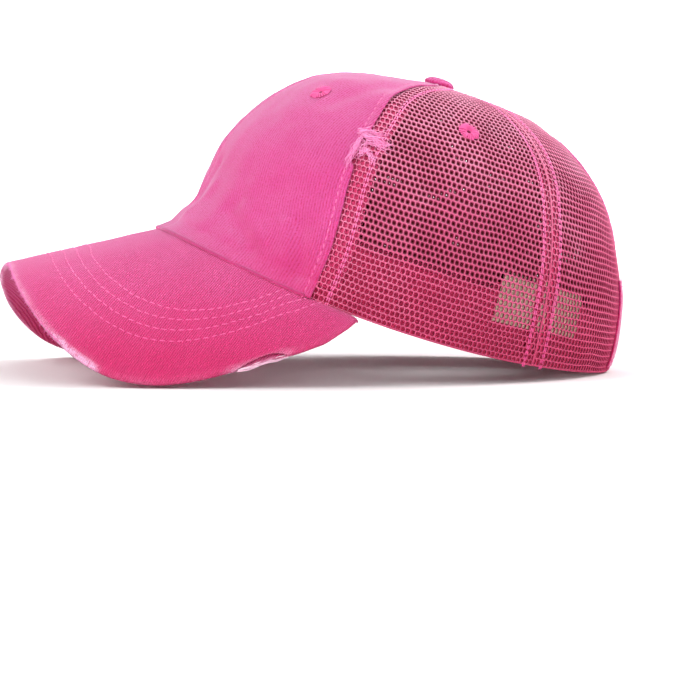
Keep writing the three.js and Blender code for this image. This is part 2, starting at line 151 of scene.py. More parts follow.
def smooth_crown(angle, climb):
    """The crown's face without folds, in mm, rim level: degrees from the front, share of the climb."""
    angle, climb = np.broadcast_arrays(np.radians(angle), np.clip(climb, 0, 1))
    rise = read(CROWN_SECTIONS, "rise", climb)
    forwards = np.cos(angle)
    front = read(CROWN_SECTIONS, "front", climb) * RIM_FRONT
    back = read(CROWN_SECTIONS, "back", climb) * RIM_BACK
    dip = RIM_DIP * np.sin(angle) ** 2 * np.maximum(0, 1 - rise / DIP_REACH) ** 2
    return np.stack([
        read(CROWN_SECTIONS, "side", climb) * RIM_SIDE * np.sin(angle),
        -np.where(forwards > 0, front, back) * forwards - TOP_FORWARD * climb ** 3,
        rise * CROWN_HEIGHT - dip,
    ], axis=-1)


def unit(vectors):
    return vectors / np.maximum(np.linalg.norm(vectors, axis=-1, keepdims=True), 1e-9)


def crown_normal(angle, climb):
    across = smooth_crown(angle + 0.5, climb) - smooth_crown(angle - 0.5, climb)
    up = smooth_crown(angle, climb + 0.004) - smooth_crown(angle, climb - 0.004)
    return unit(np.cross(across, up))


def fold_depth(points, folds=FOLDS):
    """How far the soft folds and dents of the worn cloth move each point outwards."""
    depth = np.zeros(points.shape[:-1])
    for fold in folds:
        start = smooth_crown(fold["angle"], fold["climb"])
        run = smooth_crown(fold["to_angle"], fold["to_climb"]) - start
        along = np.clip((points - start) @ run / (run @ run), 0, 1)
        away = np.linalg.norm(points - start - along[..., None] * run, axis=-1)
        depth += fold["depth"] * np.exp(-((away / fold["half_width"]) ** 2))
    return depth


def degrees_for(length, angle, climb):
    """Degrees that span a length along the level line through a point of the crown."""
    step = smooth_crown(angle + 0.5, climb) - smooth_crown(angle - 0.5, climb)
    return length / np.maximum(np.linalg.norm(step, axis=-1), 0.05)


def rumple(points, size, seed):
    """Soft unevenness of worn cloth at each point, from -1 to 1, with waves about that size."""
    places = points.reshape(-1, 3) / size + seed
    return np.array([noise.noise(Vector(place)) for place in places]).reshape(points.shape[:-1])


def shares(length, step):
    """Shares of a length, close together near its ends, where the cloth's edge is rounded."""
    near = np.array([0, 0.06, 0.18, 0.36, 0.6, 1.0, 1.6, 2.3])
    near = near * min(1, length / 7)
    middle = np.linspace(near[-1], length - near[-1], max(int(length / step), 2) + 1)
    return np.concatenate([near, middle[1:-1], length - near[::-1]]) / length


def lay_out(points, normal):
    """A grid of points on cloth with the lengths along its rows and up its columns, in mm."""
    across = np.cumsum(np.linalg.norm(np.diff(points, axis=1), axis=-1), axis=1)
    up = np.cumsum(np.linalg.norm(np.diff(points, axis=0), axis=-1), axis=0)
    return dict(
        points=points,
        normal=normal,
        across=np.pad(across, ((0, 0), (1, 0))),
        up=np.pad(up, ((1, 0), (0, 0))),
    )


def crown_grid(from_angle, to_angle, bottom, top, outward, step, relief=None):
    """A grid on the crown between two angles that may change with the climb."""
    middle = (bottom + top) / 2
    angles = np.linspace(from_angle(middle), to_angle(middle), 30)
    width = np.linalg.norm(np.diff(smooth_crown(angles, middle), axis=0), axis=-1).sum()
    climbs = np.linspace(bottom, top, 30)
    height = np.linalg.norm(np.diff(smooth_crown(angles[15], climbs), axis=0), axis=-1).sum()
    climb = bottom + (top - bottom) * shares(height, step)[:, None]
    angle = from_angle(climb) + (to_angle(climb) - from_angle(climb)) * shares(width, step)
    base = smooth_crown(angle, climb)
    normal = crown_normal(angle, climb)
    grid = lay_out(base, normal)
    grid["angle"], grid["climb"] = np.broadcast_arrays(angle, climb)
    lift = outward(climb) if callable(outward) else outward
    lift = lift + fold_depth(base)
    if relief:
        lift = lift + relief(grid)
    grid["points"] = base + normal * lift[..., None]
    return grid


def turn_to_room(ways):
    """From directions in the cap's own frame to the same ones in the room."""
    return ways @ np.array(Matrix.Rotation(REST_TURN, 3, "X")).T


def in_room(points):
    """From mm in the cap's own frame, rim level, to metres in the room, where the cap rests."""
    return turn_to_room(points) / 1000 + np.array(REST_PLACE)


def new_piece(name, points, faces, uvs=None, **attributes):
    """A mesh object of points in the cap's frame, with a map in mm and values for each point."""
    mesh = bpy.data.meshes.new(name)
    edges = faces if len(faces) and len(faces[0]) == 2 else []
    mesh.from_pydata(in_room(points).tolist(), edges, [] if len(edges) else faces)
    if uvs is not None:
        mesh.uv_layers.new(name="cloth").data.foreach_set("uv", np.asarray(uvs, np.float32).ravel())
    for title, values in attributes.items():
        kind = "FLOAT" if np.ndim(values) == 1 else "FLOAT_VECTOR"
        field = "value" if kind == "FLOAT" else "vector"
        data = mesh.attributes.new(title, kind, "POINT").data
        data.foreach_set(field, np.asarray(values, np.float32).ravel())
    mesh.shade_smooth()
    piece = bpy.data.objects.new(name, mesh)
    bpy.context.scene.collection.objects.link(piece)
    return piece


def side_distances(grid, ring=False):
    across, up = grid["across"], grid["up"]
    ends = [up, up[-1:] - up]
    return ends if ring else ends + [across, across[:, -1:] - across]


CORNERS = [(0, 0), (0, 1), (1, 1), (1, 0)]


def cells_of(index, map_mm, order=CORNERS):
    """The corners of each cell of a grid: the points' numbers, and their places in the map."""
    rows, columns = index.shape
    pick = [(slice(j, rows - 1 + j), slice(i, columns - 1 + i)) for j, i in order]
    quads = np.stack([index[part] for part in pick], axis=-1).reshape(-1, 4)
    return quads, np.stack([map_mm[part] for part in pick], axis=-2).reshape(-1, 4, 2)


def cloth_piece(name, grid, thickness, ring=False, wear=None, flip=False):
    """A closed piece of cloth under a grid, with rounded edges. A ring joins its last column to
    its first."""
    away = np.minimum.reduce(side_distances(grid, ring))
    body = np.sqrt(1 - (1 - np.clip(away / (0.65 * thickness), 0, 1)) ** 2)[..., None]
    half = thickness / 2 * grid["normal"]
    faces_of = [grid["points"] - half * (1 - body), grid["points"] - half * (1 + body)]
    rows, columns = away.shape
    outer = np.arange(rows * columns).reshape(rows, columns)
    if ring:
        outer[:, -1] = outer[:, 0]
    inner = outer + rows * columns
    inner[[0, -1]] = outer[[0, -1]]
    if not ring:
        inner[:, [0, -1]] = outer[:, [0, -1]]
    map_mm = grid.get("map", np.stack([grid["across"], grid["up"]], axis=-1))
    order = CORNERS[::-1] if flip else CORNERS
    faces = [cells_of(outer, map_mm, order), cells_of(inner, map_mm, order[::-1])]
    quads, maps = (np.concatenate(both) for both in zip(*faces))
    used, renamed = np.unique(quads, return_inverse=True)
    points = np.concatenate([face.reshape(-1, 3) for face in faces_of])[used]
    worn = np.zeros(away.shape) if wear is None else wear
    worn = np.tile(worn.ravel(), 2)[used]
    return new_piece(name, points, renamed.reshape(-1, 4).tolist(), maps, worn=worn)


def ring_faces(start, rings, turns):
    """Faces between rings of points that follow each other."""
    faces = []
    for low in range(start, start + (rings - 1) * turns, turns):
        for k in range(turns):
            n = (k + 1) % turns
            faces.append([low + k, low + n, low + turns + n, low + turns + k])
    return faces


def tube_piece(name, runs, radius, sides_round=6):
    """Round cords along runs of points in the cap's frame, closed at their ends."""
    points, faces = [], []
    for run in runs:
        run = np.asarray(run)
        along = unit(np.gradient(run, axis=0))
        across = unit(np.cross(along, [0.13, 0.21, 0.97]))
        other = np.cross(along, across)
        start = len(points)
        for place, a, b in zip(run, across, other):
            for k in range(sides_round):
                t = 2 * math.pi * k / sides_round
                points.append(place + radius * (math.cos(t) * a + math.sin(t) * b))
        faces += ring_faces(start, len(run), sides_round)
        faces.append([start + k for k in range(sides_round)][::-1])
        faces.append([start + (len(run) - 1) * sides_round + k for k in range(sides_round)])
    points = np.array(points)
    round_step = 2 * math.pi * radius / sides_round
    steps = np.linalg.norm(np.diff(points[::sides_round], axis=0), axis=-1)
    lengths = np.concatenate([[0.0], np.cumsum(steps)])
    uvs = [
        (lengths[index // sides_round], index % sides_round * round_step) for face in faces for index in face
    ]
    return new_piece(name, points, faces, uvs)


def crown_run(angles, climbs, outward):
    """Points on the crown along angles and climbs, at a height over its face."""
    angles, climbs = np.broadcast_arrays(angles, climbs)
    base = smooth_crown(angles, climbs)
    lift = outward + fold_depth(base)
    return base + crown_normal(angles, climbs) * lift[..., None]


def put(tree, kind, inputs=None, **settings):
    """Adds a node with its settings, and gives its inputs a value or another node's output."""
    node = tree.nodes.new(kind)
    for name, value in settings.items():
        setattr(node, name, value)
    for name, value in (inputs or {}).items():
        if isinstance(value, bpy.types.NodeSocket):
            tree.links.new(value, node.inputs[name])
        else:
            node.inputs[name].default_value = value
    return node


def math_of(tree, operation, *values):
    return put(tree, "ShaderNodeMath", dict(enumerate(values)), operation=operation).outputs[0]


def product(tree, first, *others):
    for other in others:
        first = math_of(tree, "MULTIPLY", first, other)
    return first


def total(tree, first, *others):
    for other in others:
        first = math_of(tree, "ADD", first, other)
    return first


def axes_of(tree, vector=None):
    """The X, Y and Z of a vector, or of each point's place."""
    if vector is None:
        vector = put(tree, "GeometryNodeInputPosition").outputs[0]
    return put(tree, "ShaderNodeSeparateXYZ", {0: vector}).outputs


def blend(tree, factor, first, second):
    """The colour between two others by a factor."""
    return put(tree, "ShaderNodeMix", {0: factor, 6: first, 7: second}, data_type="RGBA").outputs[2]


def new_group(name, kind, inputs, outputs):
    """A node group with named inputs, given as their kind and value, and named outputs."""
    tree = bpy.data.node_groups.new(name, kind)
    for title, (socket, value) in inputs.items():
        made = tree.interface.new_socket(title, in_out="INPUT", socket_type="NodeSocket" + socket)
        if value is not None:
            made.default_value = value
    for title, socket in outputs.items():
        tree.interface.new_socket(title, in_out="OUTPUT", socket_type="NodeSocket" + socket)
    start = tree.nodes.new("NodeGroupInput").outputs
    end = tree.nodes.new("NodeGroupOutput").inputs
    return tree, start, end


# A twill weave: slanting ribs crossed by finer threads, both uneven, with a little fuzz.
weave, given, made = new_group(
    "twill weave", "ShaderNodeTree",
    dict(
        Place=("Vector", None),
        Pitch=("Float", 0.9),
        Slant=("Float", 1.1),
        Unevenness=("Float", 0.25),
        Ribs=("Float", 1.0),
        Fuzz=("Float", 0.5),
    ),
    dict(Height="Float"),
)
slanted = put(weave, "ShaderNodeVectorRotate", dict(Vector=given["Place"], Angle=given["Slant"]),
              rotation_type="Z_AXIS").outputs[0]
waver = put(weave, "ShaderNodeTexNoise", dict(Vector=slanted, Scale=0.35, Detail=3.0)).outputs["Fac"]
waver = product(weave, waver, given["Unevenness"], 12.0)
axes = axes_of(weave, slanted)
turns = math_of(weave, "DIVIDE", 2 * math.pi, given["Pitch"])
ribs = math_of(weave, "SINE", total(weave, product(weave, axes["X"], turns), waver))
cross = math_of(weave, "SINE", product(weave, axes["Y"], product(weave, turns, 0.8)))
fuzz = put(weave, "ShaderNodeTexNoise", dict(Vector=given["Place"], Scale=1.25, Detail=6.0, Roughness=0.75))
fuzz = product(weave, math_of(weave, "SUBTRACT", fuzz.outputs["Fac"], 0.5), given["Fuzz"])
height = product(weave, ribs, total(weave, 0.42, product(weave, cross, 0.05)))
height = total(weave, product(weave, height, given["Ribs"]), 0.5, product(weave, fuzz, 2.4))
weave.links.new(height, made["Height"])

# Dye with painted light: painted shade towards the floor and in the hollows of the weave, a painted
# highlight where the cloth faces up, random blotches of paler tone, and pale where an edge is rubbed.
dye_and_light, given, made = new_group(
    "worn dye and painted light", "ShaderNodeTree",
    dict(
        Place=("Vector", None),
        Deep=("Color", None),
        Body=("Color", None),
        Lit_And_Mottled=("Color", None),
        Pale=("Color", None),
        Height=("Float", 0.5),
        Relief=("Float", 0.25),
        Fade=("Float", 0.6),
        Low=("Float", 0.5),
        Mottle=("Float", 0.12),
        Rubbed=("Float", 0.0),
    ),
    dict(Color="Color", Roughness="Float"),
)
# Painted highlight: cloth that faces up is paled towards the lit colour, with random blotches added.
sky = axes_of(dye_and_light, put(dye_and_light, "ShaderNodeNewGeometry").outputs["Normal"])["Z"]
sky = put(dye_and_light, "ShaderNodeMapRange", {"Value": sky, "From Min": 0.1, "From Max": 1.0}).outputs[0]
# Painted shade: the colour deepens towards the floor.
above = axes_of(dye_and_light, given["Place"])["Z"]
low = put(dye_and_light, "ShaderNodeMapRange", {"Value": above, "From Min": 0.065, "From Max": 0.012}).outputs[0]
blotch = put(dye_and_light, "ShaderNodeTexNoise", dict(Vector=given["Place"], Scale=55.0, Detail=5.0, Roughness=0.6))
blotch = math_of(dye_and_light, "SUBTRACT", blotch.outputs["Fac"], 0.5)
blotch = product(dye_and_light, blotch, given["Mottle"], 4.0)
lit_mottle = total(dye_and_light, product(dye_and_light, sky, given["Fade"]), blotch)
lit_mottle = product(dye_and_light, lit_mottle, math_of(dye_and_light, "SUBTRACT", 1.0, product(dye_and_light, low, 0.8)))
colour = blend(dye_and_light, product(dye_and_light, low, given["Low"]), given["Body"], given["Deep"])
colour = blend(dye_and_light, lit_mottle, colour, given["Lit_And_Mottled"])
# Painted shade: the hollows of the weave are deepened.
hollow_shade = product(dye_and_light, math_of(dye_and_light, "SUBTRACT", 0.75, given["Height"]), given["Relief"])
colour = blend(dye_and_light, hollow_shade, colour, given["Deep"])
grain = put(dye_and_light, "ShaderNodeTexNoise", dict(Vector=given["Place"], Scale=900.0, Detail=3.0))
grain = put(dye_and_light, "ShaderNodeMapRange", {"Value": grain.outputs["Fac"], "From Min": 0.35, "From Max": 0.6,
                                        "To Min": 0.55, "To Max": 1.15}).outputs[0]
rubbed = put(dye_and_light, "ShaderNodeMath", {0: given["Rubbed"], 1: grain}, operation="MULTIPLY", use_clamp=True)
colour = blend(dye_and_light, rubbed.outputs[0], colour, given["Pale"])
dye_and_light.links.new(colour, made["Color"])
dye_and_light.links.new(total(dye_and_light, 0.78, product(dye_and_light, given["Height"], 0.15)), made["Roughness"])


def srgb(red, green, blue):
    """A colour given as on a screen, from 0 to 255, in the linear values that the nodes use."""
    return tuple((channel / 255) ** 2.2 for channel in (red, green, blue)) + (1.0,)


# Hot pink; a deeper pink for painted shade; a paler pink for painted highlight and random mottle; a pale pink
# for rubbed edges and painted sheen.
HOT_PINK = srgb(246, 84, 170)
DEEP_PINK = srgb(226, 38, 102)
LIT_AND_MOTTLED_PINK = srgb(252, 136, 208)
PALE_PINK = srgb(252, 184, 222)


def cloth_material(name, body=HOT_PINK, deep=DEEP_PINK, lit_and_mottled=LIT_AND_MOTTLED_PINK, pale=PALE_PINK, pitch=0.9,
                   slant=0.26, fade=0.6, low=0.85, mottle=0.16, relief=0.8, depth=0.0004, ribs=1.0,
                   fuzz=0.9, painted_sheen=0.0):
    """Dyed cloth: a weave in the cloth's own map, and a dye with painted light by its place on the cap. The
    painted sheen is how much the pale colour is painted in where the cloth is seen from the side."""
    material = bpy.data.materials.new(name)
    material.use_nodes = True
    tree = material.node_tree
    shader = tree.nodes["Principled BSDF"]
    own_map = put(tree, "ShaderNodeUVMap", uv_map="cloth").outputs["UV"]
    place = put(tree, "ShaderNodeTexCoord").outputs["Object"]
    threads = put(tree, "ShaderNodeGroup", node_tree=weave)
    tree.links.new(own_map, threads.inputs["Place"])
    for title, value in dict(Pitch=pitch, Slant=slant, Ribs=ribs, Fuzz=fuzz).items():
        threads.inputs[title].default_value = value
    worn = put(tree, "ShaderNodeAttribute", attribute_name="worn").outputs["Fac"]
    tone = put(tree, "ShaderNodeGroup", node_tree=dye_and_light)
    tones = dict(Deep=deep, Body=body, Lit_And_Mottled=lit_and_mottled, Pale=pale, Relief=relief, Fade=fade, Low=low,
                 Mottle=mottle)
    for title, value in tones.items():
        tone.inputs[title].default_value = value
    for source, title in ((place, "Place"), (threads.outputs["Height"], "Height"), (worn, "Rubbed")):
        tree.links.new(source, tone.inputs[title])
    # Painted sheen: the colour is paled where the cloth is seen from the side.
    facing = put(tree, "ShaderNodeLayerWeight", dict(Blend=0.5)).outputs["Facing"]
    grazing_sheen = product(tree, math_of(tree, "POWER", facing, 3.0), painted_sheen)
    tree.links.new(blend(tree, grazing_sheen, tone.outputs["Color"], pale), shader.inputs["Base Color"])
    tree.links.new(tone.outputs["Roughness"], shader.inputs["Roughness"])
    bump = put(tree, "ShaderNodeBump", dict(Height=threads.outputs["Height"], Distance=depth, Strength=1.0))
    tree.links.new(bump.outputs["Normal"], shader.inputs["Normal"])
    shader.inputs["Specular IOR Level"].default_value = 0.2
    shader.inputs["Sheen Weight"].default_value = 0.15
    shader.inputs["Sheen Roughness"].default_value = 0.5
    shader.inputs["Sheen Tint"].default_value = (1.0, 0.72, 0.86, 1.0)
    return material


def dress(piece, material, slot, *nodes):
    """Gives a finished piece its material, lets it ride on the root and hides the model's parts that it
    stands for. Its slot is not used.
    """
    if material:
        piece.data.materials.clear()
        piece.data.materials.append(material)
    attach(piece, "root")
    if nodes:
        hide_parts(*nodes)


def seam_angle(seam, side, shift=0.0, tear=None):
    """The angle of a seam at a climb, moved backwards by a length in mm."""
    def at(climb):
        angle = read(SEAMS, seam, climb)
        back = shift - (tear(climb) if tear else 0)
        return side * (angle + degrees_for(back, angle, climb))
    return at


def torn_seam(climb):
    """How far the turned edge of the left panel is torn back, in mm."""
    share = (climb - SEAM_TEAR["climb"]) / SEAM_TEAR["half_height"]
    ragged = 1 + 0.25 * np.sin(climb * 520) + 0.2 * np.sin(climb * 1130)
    return SEAM_TEAR["depth"] * np.clip(1 - share ** 2, 0, 1) * ragged


def middle_angle(angle, side):
    """The angle of the panels' edge at the seam down the middle of the front or the back."""
    def at(climb):
        return side * (angle - np.sign(angle - 90) * degrees_for(SEAM_GAP, angle, climb))
    return at


def groove(distance, place, width, depth):
    """A valley that stitches pull into cloth, at a distance from its edge."""
    return -depth * np.exp(-(((distance - place) / width) ** 2))


def twill_relief(side):
    def relief(grid):
        bottom, _, left, right = side_distances(grid)
        middle, seam = (left, right) if side > 0 else (right, left)
        turned = HEM_PUFF * np.clip(1.4 - seam / TOPSTITCH, 0, 1)
        joined = 0.3 * np.exp(-((middle / (CENTRE_STITCH * 1.2)) ** 2))
        hem = 0.9 * np.exp(-((bottom / 2.6) ** 2)) - 0.35 * np.exp(-(((bottom - 6.5) / 2.2) ** 2))
        lines = groove(seam, TOPSTITCH, 0.7, 0.3) + groove(middle, CENTRE_STITCH, 0.6, 0.2)
        soft = 0.5 * rumple(grid["points"], 21, 3.1) + 0.3 * rumple(grid["points"], 8, 9.7)
        soft = soft + fold_depth(grid["points"], CREASES) + 0.06 * rumple(grid["points"], 2.4, 2.8)
        pucker = 0.2 * rumple(grid["points"], 3.0, 5.5) * np.exp(-((seam / 5) ** 2))
        pucker = pucker + 0.2 * rumple(grid["points"], 3.4, 7.5) * np.exp(-((bottom / 5) ** 2))
        return turned + joined + hem + lines + soft + pucker
    return relief


twill = cloth_material("washed twill", pitch=1.2, slant=-0.25, ribs=0.85, fuzz=1.8, relief=0.95, painted_sheen=0.75)
sides = {"left": 1, "right": -1}
grids = {}
for name, side in sides.items():
    tear = torn_seam if side > 0 else None
    edges = [middle_angle(0, side), seam_angle("front", side, -SEAM_GAP, tear)][::side]
    grids["front", side] = crown_grid(*edges, 0, PANEL_TOP, TWILL_PROUD, TWILL_STEP, twill_relief(side))
    panel = cloth_piece(f"twill_front_{name}", grids["front", side], TWILL_THICKNESS)
    dress(panel, twill, "twill", f"front_panel_{name}")


# The crown's hem over the peak: the turned cloth is rolled under and fills the seam like a cord.
# It is twill like the panels and is sewn in between them and the peak's cover.
HEM_ROLL = 0.9
HEM_OUT, HEM_UP = 0.5, 0.003

hem_angles = np.linspace(-SEAMS[0]["front"] + 1.5, SEAMS[0]["front"] - 1.5, 120)
hem_run = crown_run(hem_angles, HEM_UP, HEM_OUT)
dress(tube_piece("rolled_hem", [hem_run], HEM_ROLL, 10), twill, "twill")

# The seam down the forehead: the panels' edges are turned in there and meet over their own layers,
# so that no light comes through between them.
CENTRE_SEAM = 0.42
seam_run = grids["front", 1]["points"][:, 0] - TWILL_THICKNESS / 2 * grids["front", 1]["normal"][:, 0]
seam_run = seam_run * [0, 1, 1]
dress(tube_piece("centre_seam", [seam_run], CENTRE_SEAM, 8), twill, "twill")


# Sides and back: four panels of knitted net in soft polyester yarn. The knit leaves rows of small
# round holes, each row half a hole along from the last. The panels' edges are sewn over tapes.
NET_THICKNESS = 0.5
NET_STEP = 2.5
HOLE_PITCH = 2.05
ROW_PITCH = 2.45
HOLE_WIDTH = 1.78
HOLE_HEIGHT = 2.14
HOLE_INSIDE = 0.15              # the yarn's roundness closes the holes to this share on the inside
YARN_CROWN = 0.13
NET_WAVER = 1.1                 # how far the knit's rows wander
NET_UNDER_TWILL = 1.8
MAP_SIZE = 256.0                # mm of net in the map that the net is knitted by
OPENING_MIDDLE = 0.6
OPENING_REACH = 0.185
OPENING_HALF_WIDTH = 21
BINDING_WIDTH = 5
NET_UNDER_BINDING = 0.3         # from the opening's edge to the net's cut edge
HOLE_CORNER = 0.17              # how far the knit squares the holes
ROW_DRIFTS = ((0.045, 2.0), (0.5, 0.22))    # each with its noise's scale and its reach in mm
NET_DIP = 0.85                  # how far the net dips under the twill
TAPES = {"front": dict(width=13, shift=2.5), "back": dict(width=10.5, shift=0)}
TAPE_BOTTOM, TAPE_TOP = 0.06, 0.86

# Where cloth lies close behind the net, its holes stay wide on the inside, and their painted shade is weaker.
NET_OVER_LABEL = dict(start=106, end=136, bottom=0.12, top=0.26)    # degrees on the left, and climbs
NET_OVER_BAND = 0.232
NET_OVER_BAND_SHARE = 0.9


def vector_of(tree, x, y, z=0.0):
    return put(tree, "ShaderNodeCombineXYZ", dict(X=x, Y=y, Z=z)).outputs[0]


def vector_math(tree, operation, first, second):
    """A vector made from two others, or from one and a scale."""
    inputs = {0: first, "Scale" if operation == "SCALE" else 1: second}
    return put(tree, "ShaderNodeVectorMath", inputs, operation=operation).outputs[0]


def named(tree, title, kind="FLOAT_VECTOR"):
    return put(tree, "GeometryNodeInputNamedAttribute", dict(Name=title), data_type=kind).outputs[0]


def store(tree, geometry, title, value, kind="FLOAT_VECTOR", domain="POINT", **inputs):
    """Keeps a value under a name on each of a geometry's points."""
    inputs = dict(Geometry=geometry, Name=title, Value=value, **inputs)
    return put(tree, "GeometryNodeStoreNamedAttribute", inputs, data_type=kind, domain=domain).outputs[0]


def random_vector(tree, low, high, seed):
    inputs = {0: low, 1: high, "Seed": seed}
    return put(tree, "FunctionNodeRandomValue", inputs, data_type="FLOAT_VECTOR").outputs[0]


def random_number(tree, low, high, seed):
    inputs = {2: low, 3: high, "Seed": seed}
    return put(tree, "FunctionNodeRandomValue", inputs, data_type="FLOAT").outputs[1]


def facing_of(tree, first, second, first_axis, second_axis):
    """The rotation that lays one axis along a vector and a second one near another."""
    return put(tree, "FunctionNodeAxesToRotation", {0: first, 1: second},
               primary_axis=first_axis, secondary_axis=second_axis).outputs[0]


def copies_on(tree, points, instance, rotation, size=None):
    """Copies of a geometry at points, made real."""
    inputs = dict(Points=points, Instance=instance, Rotation=rotation)
    if size is not None:
        inputs["Scale"] = size
    copies = put(tree, "GeometryNodeInstanceOnPoints", inputs).outputs[0]
    return put(tree, "GeometryNodeRealizeInstances", dict(Geometry=copies)).outputs[0]


def drawn_out(tree, curve, sides, radius, taper):
    """A curve as a round yarn with closed ends."""
    outline = put(tree, "GeometryNodeCurvePrimitiveCircle", dict(Resolution=sides, Radius=radius)).outputs[0]
    inputs = {"Curve": curve, "Profile Curve": outline, "Scale": taper, "Fill Caps": True}
    return put(tree, "GeometryNodeCurveToMesh", inputs).outputs[0]


def finish_tree(tree, geometry, output, material=None):
    """Ends a tree: smooth shading, a material, and its output."""
    geometry = put(tree, "GeometryNodeSetShadeSmooth", dict(Geometry=geometry)).outputs[0]
    if material is not None:
        geometry = put(tree, "GeometryNodeSetMaterial", dict(Geometry=geometry, Material=material)).outputs[0]
    tree.links.new(geometry, output)


def apply_tree(piece, tree, **values):
    """Runs a geometry node tree on an object, with its named inputs, and keeps the plain mesh."""
    modifier = piece.modifiers.new("make", "NODES")
    modifier.node_group = tree
    for item in tree.interface.items_tree:
        key = item.name.replace(" ", "_").lower()
        if item.in_out == "INPUT" and key in values:
            modifier[item.identifier] = values[key]
    piece.update_tag()
    graph = bpy.context.evaluated_depsgraph_get()
    graph.update()
    mesh = bpy.data.meshes.new_from_object(piece.evaluated_get(graph), depsgraph=graph)
    piece.modifiers.remove(modifier)
    old = piece.data
    piece.data = mesh
    bpy.data.meshes.remove(old)
    mesh.name = piece.name


knit, given, made = new_group(
    "knitted net", "GeometryNodeTree",
    dict(
        Sheet=("Geometry", None),
        Columns=("Int", 40),
        Rows=("Int", 40),
        Hole_Pitch=("Float", 2.0),
        Row_Pitch=("Float", 2.4),
        Hole_Width=("Float", 1.3),
        Hole_Height=("Float", 1.5),
        Hole_Inside=("Float", 0.7),
        Thickness=("Float", 0.0005),
        Yarn_Crown=("Float", 0.0001),
        Waver=("Float", 1.0),
        Seed=("Float", 1.0),
        Yarn=("Material", None),
    ),
    dict(Net="Geometry"),
)
sheet = given["Sheet"]
wide = product(knit, math_of(knit, "SUBTRACT", given["Columns"], 1.0), given["Hole_Pitch"])
tall = product(knit, math_of(knit, "SUBTRACT", given["Rows"], 1.0), given["Row_Pitch"])
lattice = put(knit, "GeometryNodeMeshGrid", {"Size X": wide, "Size Y": tall, "Vertices X": given["Columns"],
                                             "Vertices Y": given["Rows"]}).outputs[0]
flat = axes_of(knit)
half_row = product(knit, given["Row_Pitch"], 0.5)
raised = total(knit, flat["Y"], product(knit, tall, 0.5), half_row)
row = math_of(knit, "DIVIDE", math_of(knit, "SUBTRACT", raised, half_row), given["Row_Pitch"])
odd = math_of(knit, "FLOORED_MODULO", math_of(knit, "ROUND", row), 2.0)
shifted = total(knit, flat["X"], product(knit, odd, 0.5, given["Hole_Pitch"]))
shifted = vector_of(knit, shifted, raised)
lattice = put(knit, "GeometryNodeSetPosition", dict(Geometry=lattice, Position=shifted)).outputs[0]


def on_sheet(value, at):
    """What a value of the sheet is at a place of its map, and whether the place is on the sheet."""
    at = put(knit, "ShaderNodeVectorMath", {0: at, 1: (1 / MAP_SIZE, 1 / MAP_SIZE, 0.0), 2: (0.5, 0.0, 0.0)},
             operation="MULTIPLY_ADD").outputs[0]
    inputs = {"Mesh": sheet, "Value": value, "UV Map": named(knit, "cloth"), "Sample UV": at}
    return put(knit, "GeometryNodeSampleUVSurface", inputs, data_type="FLOAT_VECTOR").outputs


def span_at(height):
    found = on_sheet(named(knit, "span"), vector_of(knit, 0.0, height))
    ends = axes_of(knit, found[0])
    return ends["X"], ends["Y"], found[1]


# Only the places of the lattice that lie on the sheet, or just beside it, get a hole.
now = axes_of(knit)
first, last, on_height = span_at(now["Y"])
half_hole = product(knit, given["Hole_Pitch"], 0.5)
before = math_of(knit, "LESS_THAN", now["X"], math_of(knit, "SUBTRACT", first, half_hole))
after = math_of(knit, "GREATER_THAN", now["X"], total(knit, last, half_hole))
missing = math_of(knit, "SUBTRACT", 1.0, on_height)
outside = math_of(knit, "GREATER_THAN", total(knit, before, after, missing), 0.5)
lattice = put(knit, "GeometryNodeDeleteGeometry", dict(Geometry=lattice, Selection=outside), domain="POINT")

# One mesh of the knit: eight faces between the middle of its yarns and the round hole inside them.
cell = put(knit, "GeometryNodeMeshCone", {"Vertices": 8, "Side Segments": 1, "Radius Top": 0.5,
                                          "Radius Bottom": 1.0, "Depth": 0.1}, fill_type="NONE").outputs[0]
spoke = axes_of(knit)
reach = total(knit, math_of(knit, "POWER", spoke["X"], 2.0), math_of(knit, "POWER", spoke["Y"], 2.0))
reach = math_of(knit, "SQRT", reach)
outermost = math_of(knit, "GREATER_THAN", reach, 0.75)
cell = store(knit, cell, "strand", outermost, "FLOAT")
along_x = math_of(knit, "DIVIDE", spoke["X"], reach)
along_y = math_of(knit, "DIVIDE", spoke["Y"], reach)
rim_x = product(knit, math_of(knit, "ROUND", along_x), half_hole)
rim_y = product(knit, math_of(knit, "ROUND", along_y), half_row)
corner = math_of(knit, "ABSOLUTE", product(knit, along_x, along_y))
corner = total(knit, 0.5, product(knit, corner, HOLE_CORNER))
half_width = product(knit, along_x, product(knit, given["Hole_Width"], corner))
half_height = product(knit, along_y, product(knit, given["Hole_Height"], corner))
hole_x = product(knit, half_width, given["Hole_Inside"])
hole_y = product(knit, half_height, given["Hole_Inside"])
hole = vector_of(knit, hole_x, hole_y)
funnel = vector_math(knit, "SUBTRACT", vector_of(knit, half_width, half_height), hole)
funnel = vector_math(knit, "SCALE", funnel, math_of(knit, "SUBTRACT", 1.0, outermost))
cell = store(knit, cell, "widen", funnel)
place = put(knit, "ShaderNodeMix", {0: outermost, 4: hole, 5: vector_of(knit, rim_x, rim_y)},
            data_type="VECTOR").outputs[1]
cell = put(knit, "GeometryNodeSetPosition", dict(Geometry=cell, Position=place)).outputs[0]
net = put(knit, "GeometryNodeInstanceOnPoints", dict(Points=lattice.outputs[0], Instance=cell)).outputs[0]
net = put(knit, "GeometryNodeRealizeInstances", dict(Geometry=net)).outputs[0]

